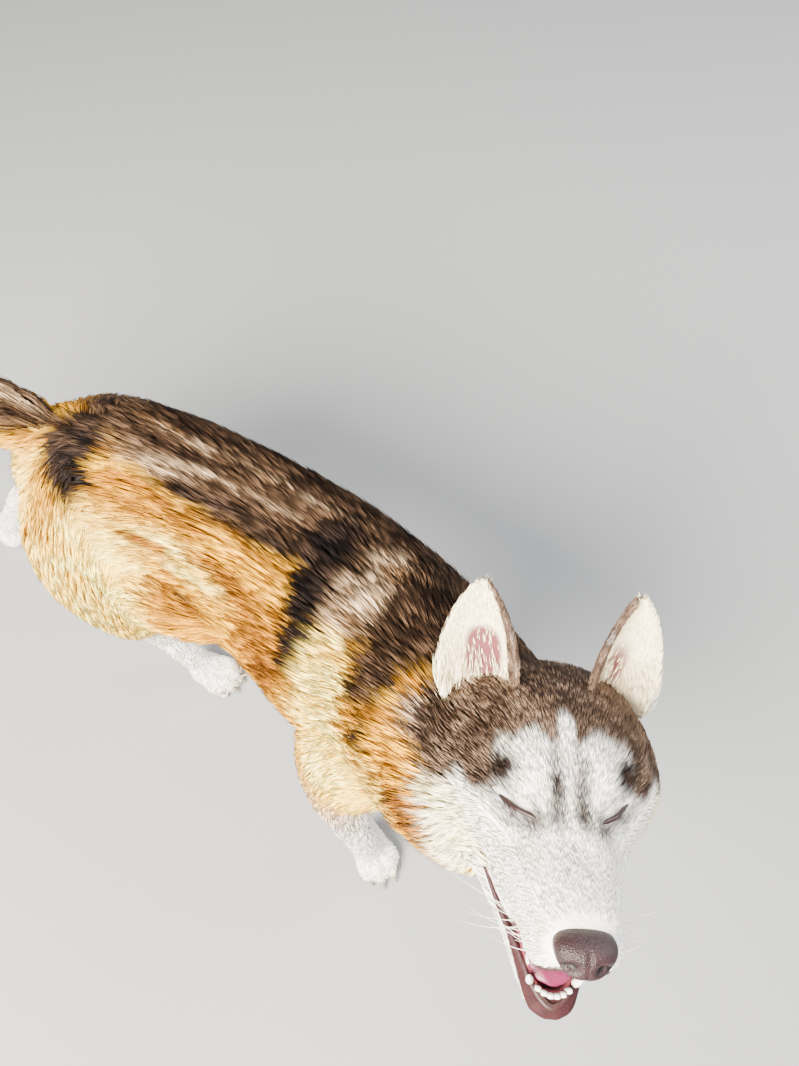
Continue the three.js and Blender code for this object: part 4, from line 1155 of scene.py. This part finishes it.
# The most strands in one piece, how deep their roots are set, and their patch in the colour map
STRANDS_A_PIECE = 19000
ROOT_DEPTH = 0.0022
PATCH_WIDTH, PATCH_LENGTH = 0.0014, 0.003
# The ball round the nose leather in which no strand stands
NOSE_CLEAR = np.array([0.0195, 0.0235, 0.0195])


def strands(name, root, normal, lie, tip, length, height, width, uv, place, tone, inner):
    """Joined tapered strands: three-sided rings bent over from the root, each closed to a point."""
    count, rings = len(root), len(PROFILE)
    start = root - normal * np.minimum(ROOT_DEPTH, height * 0.6)[:, None]
    knee = root + lie * (length * 0.42)[:, None] + normal * (height * 1.15)[:, None]
    verts = np.zeros((count, rings * 3 + 1, 3))
    runs = np.zeros((count, rings * 3 + 1))
    for r, (u, wide) in enumerate(PROFILE):
        centre = start * (1 - u) ** 2 + knee * 2 * u * (1 - u) + tip * u * u
        way = unit((knee - start) * (1 - u) + (tip - knee) * u)
        side = unit(np.cross(way, normal))
        up = np.cross(side, way)
        half = (width * wide / 2)[:, None]
        verts[:, r * 3] = centre + side * half
        verts[:, r * 3 + 1] = centre + up * half * 0.8
        verts[:, r * 3 + 2] = centre - side * half
        runs[:, r * 3 : r * 3 + 3] = u
    verts[:, -1] = tip
    verts[:, :, 2] = np.maximum(verts[:, :, 2], 0.0005)
    runs[:, -1] = 1.0
    quads = [(r * 3 + j, r * 3 + (j + 1) % 3, r * 3 + 3 + (j + 1) % 3, r * 3 + 3 + j)
             for r in range(rings - 1) for j in range(3)]
    last = (rings - 1) * 3
    tris = [(last + j, last + (j + 1) % 3, last + 3) for j in range(3)] + [(0, 2, 1)]
    per = rings * 3 + 1
    base = (np.arange(count) * per)[:, None]
    loops = base + np.array([i for face in quads + tris for i in face])[None]
    sizes = np.array([4] * len(quads) + [3] * len(tris))
    starts = np.concatenate([[0], np.cumsum(sizes)[:-1]])
    mesh = bpy.data.meshes.new(name)
    mesh.vertices.add(count * per)
    mesh.vertices.foreach_set("co", verts.reshape(-1).astype(np.float32))
    mesh.loops.add(loops.size)
    mesh.loops.foreach_set("vertex_index", loops.reshape(-1).astype(np.int32))
    mesh.polygons.add(count * len(sizes))
    starts = np.arange(count)[:, None] * loops.shape[1] + starts[None]
    mesh.polygons.foreach_set("loop_start", starts.reshape(-1).astype(np.int32))
    mesh.polygons.foreach_set("use_smooth", np.ones(count * len(sizes), bool))
    mesh.update(calc_edges=True)
    patch = np.zeros((count, per, 2))
    for r in range(rings):
        patch[:, r * 3 : r * 3 + 3, 0] = np.array([-0.5, 0, 0.5]) * PATCH_WIDTH
        patch[:, r * 3 : r * 3 + 3, 1] = (PROFILE[r][0] - 0.5) * PATCH_LENGTH
    patch[:, -1, 1] = PATCH_LENGTH / 2
    corner_uv = (uv[:, None, :] + patch).reshape(-1, 2)[loops.reshape(-1)]
    layer = mesh.uv_layers.new(name="OFBake")
    layer.data.foreach_set("uv", np.clip(corner_uv, 0, 1).reshape(-1).astype(np.float32))
    for label, kind, values in (
        ("place", "FLOAT_VECTOR", np.repeat(place, per, axis=0)), ("run", "FLOAT", runs),
        ("tone", "FLOAT", np.repeat(tone, per)), ("inner", "FLOAT", np.repeat(inner, per)),
    ):
        cell = mesh.attributes.new(label, kind, "POINT")
        holds = "vector" if kind == "FLOAT_VECTOR" else "value"
        cell.data.foreach_set(holds, values.reshape(-1).astype(np.float32))
    ob = bpy.data.objects.new(name, mesh)
    scene.collection.objects.link(ob)
    return ob


def grow_coat(
    name, ob, covered, lie, plan, seed, replaces, slot, clump=3, flutter=0.16, stray=0.035, bare=()
):
    """Tufts over the covered triangles of a surface, with a lie and a plan for each of them."""
    draw = np.random.default_rng(seed)
    at, out, corners, uv, tree_at = surface_arrays(ob)
    corners, uv, lie, plan = corners[covered], uv[covered], lie[covered], plan[covered]
    a, b, c = at[corners[:, 0]], at[corners[:, 1]], at[corners[:, 2]]
    area = np.linalg.norm(np.cross(b - a, c - a), axis=1) / 2
    number = area * plan[:, 3] * 1000 / clump
    total = int(number.sum())
    pick = draw.choice(len(area), size=total, p=number / number.sum())
    r1, r2 = np.sqrt(draw.random(total)), draw.random(total)
    bary = np.stack([1 - r1, r1 * (1 - r2), r1 * r2], axis=1)
    centre = (at[corners[pick]] * bary[:, :, None]).sum(axis=1)
    normal = unit((out[corners[pick]] * bary[:, :, None]).sum(axis=1))
    uv_at = (uv[pick] * bary[:, :, None]).sum(axis=1)
    way, size = lie[pick], plan[pick]
    swirl = np.array([noise.noise_vector(Vector(p) * 22) for p in centre]) * flutter
    swirl += np.array([noise.noise_vector(Vector(p) * 70) for p in centre]) * flutter * 0.8
    way = way + swirl
    way = unit(way - normal * (way * normal).sum(axis=1, keepdims=True))
    length = size[:, 0] * MM * draw.uniform(0.78, 1.18, total)
    height = size[:, 1] * MM * draw.uniform(0.6, 1.15, total)
    goal = centre + way * length[:, None]
    for i in range(total):
        near, near_normal, _, gap = tree_at.find_nearest(Vector(goal[i]))
        if near is not None and gap < length[i] * 0.7:
            goal[i] = near + near_normal * height[i]
        else:
            goal[i] = goal[i] + normal[i] * height[i] * 0.5
    reach = unit(goal - centre)
    goal = centre + reach * length[:, None]
    clump_tone = draw.uniform(0.90, 1.08, total)
    side = unit(np.cross(way, normal))
    root, tips, tones = [], [], []
    for _ in range(clump):
        across = draw.normal(0, 1, total) * size[:, 2] * MM * 0.9
        back = draw.normal(0, 1, total) * size[:, 2] * MM * 1.3
        off = side * across[:, None] + way * back[:, None]
        root.append(centre + off)
        tips.append(goal + off * 0.55 + draw.normal(0, 1, (total, 3)) * (length * stray)[:, None])
        tones.append(clump_tone * draw.uniform(0.92, 1.06, total))

    def repeated(values):
        return np.concatenate([values] * clump)

    root, tips, tones = np.concatenate(root), np.concatenate(tips), np.concatenate(tones)
    tips[:, 2] = np.maximum(tips[:, 2], 0.0008)
    normals, ways, sizes = repeated(normal), repeated(way), repeated(size)
    lengths, heights, uvs = repeated(length), repeated(height), repeated(uv_at)
    inners = np.zeros(len(root))
    if "inner" in ob.data.attributes:
        cup = point_values(ob, "inner")[corners[pick]]
        inners = np.minimum(repeated((cup * bary).sum(axis=1)), 1.0)
    keep = np.ones(len(root), bool)
    for path, clear in bare:
        for at_path in path:
            for share in (0.0, 0.5, 1.0):
                along = root * (1 - share) + tips * share
                keep &= np.linalg.norm(along - at_path, axis=1) > clear
    from_nose = (in_head(root) - np.array(NOSE_AT) * MM) / NOSE_CLEAR
    keep &= np.linalg.norm(from_nose, axis=1) > 1
    order = np.argsort(root[keep][:, 0], kind="stable")
    chosen = np.flatnonzero(keep)[order]
    pieces = max(1, -(-len(chosen) // STRANDS_A_PIECE))
    for n, rows in enumerate(np.array_split(chosen, pieces)):
        piece = strands(
            name if pieces == 1 else f"{name}_{n + 1}", root[rows], normals[rows], ways[rows], tips[rows],
            lengths[rows], heights[rows], sizes[rows][:, 2] * MM * draw.uniform(0.75, 1.25, len(rows)),
            uvs[rows], root[rows] * 0.45 + tips[rows] * 0.55, tones[rows], inners[rows],
        )
        fasten(piece, fur, slot, *replaces)


at, out, corners, _, _ = surface_arrays(skin)
middles = at[corners].mean(axis=1)
part_weights, part_places = nearest_parts(middles)
skin_lie, skin_plan = coat_plan(middles, part_weights, part_places)
owner = part_weights.argmax(axis=1)
bare_skin = np.maximum(point_values(skin, "mouth"), point_values(skin, "lip"))[corners].max(axis=1)
soles = (middles[:, 2] < 0.005) & (out[corners].mean(axis=1)[:, 2] < -0.5)
furred = (bare_skin < 0.3) & ~soles


def region(*names):
    """The furred triangles of the skin that belong to the named parts of the coat."""
    return furred & np.isin(owner, [i for i, row in enumerate(COAT_PARTS) if row[0] in names])


for part, seed, slot, flutter in (
    ("torso", 1, "coat_golden", 0.12), ("neck", 2, "coat_back", 0.12), ("tail", 3, "coat_back", 0.2),
):
    grow_coat("coat_" + part, skin, region(part), skin_lie, skin_plan, seed, [part], slot, 4, flutter)
for number, name in enumerate(LEGLINES):
    carried = [name, name.replace("leg", "paw")]
    grow_coat("coat_" + name, skin, region(name), skin_lie, skin_plan, 10 + number, carried, "coat_golden")
grow_coat(
    "coat_head", skin, region("head", "jaw"), skin_lie, skin_plan, 4, ["head", "lower_jaw"], "coat_cream",
    clump=2, flutter=0.08, stray=0.02, bare=bare_paths,
)

for name, (ear, _) in ears.items():
    hand, root, tip = EARS[name]
    rise = np.array(HEAD_PLACE.to_3x3() @ (Vector(tip) - Vector(root)).normalized())
    at, _, corners, _, _ = surface_arrays(ear)
    up = np.clip(in_head(at[corners].mean(axis=1))[:, 2] / 0.12, 0, 1)
    lie = np.tile(rise, (len(corners), 1))
    cup = point_values(ear, "inner")[corners].mean(axis=1)
    long_hair = np.clip(cup, 0, 1) * np.clip(1 - up / 0.45, 0, 1)
    number = np.where(cup > 1.2, 60, 230 + 60 * up)
    length, height = 13 - 6 * up + 14 * long_hair, 1.6 - 0.7 * up + 3 * long_hair
    plan = np.stack([length, height, 0.85 - 0.2 * up, number], axis=1)
    grow_coat("coat_ear_" + name, ear, np.ones(len(corners), bool), lie, plan, 20 + hand, ["ear_" + name],
              "coat_back", clump=2, flutter=0.2)

# Whiskers
# Stiff pale hairs, thick at the root, swept out and back from the sides of the muzzle.
WHISKER_RADIUS = 0.00042
steps = np.linspace(0, 1, 7)
bm = bmesh.new()
draw = np.random.default_rng(8)
for hand in (1, -1):
    for row in range(3):
        for place_in_row in range(4):
            root = Vector((88 - 9 * place_in_row, hand * 30, -38 - 4.5 * row))
            at = HEAD_PLACE @ (root * MM)
            near, normal, _, _ = skin_tree.find_nearest(at)
            way = Vector((-0.35 + 0.2 * draw.normal(), hand * 0.85, -0.25 + 0.2 * draw.normal()))
            way = (HEAD_PLACE.to_3x3() @ way).normalized()
            back = HEAD_PLACE.to_3x3() @ Vector((-1, 0, -0.3))
            length = (26 + 8 * place_in_row + 5 * draw.normal()) * MM
            sweep = [near - normal * 0.001 + way * length * u + back * length * 0.45 * u * u for u in steps]
            cord(bm, sweep, WHISKER_RADIUS * (1 - 0.85 * steps), 5)
whiskers = new_piece("whiskers", bm)
unwrap(whiskers)
bristle = grained("bristle", 0.4, 0.4, 90, (0.62, 0.55, 0.48), (0.92, 0.90, 0.86), detail=2)
fasten(whiskers, bristle, "coat_cream", "head")
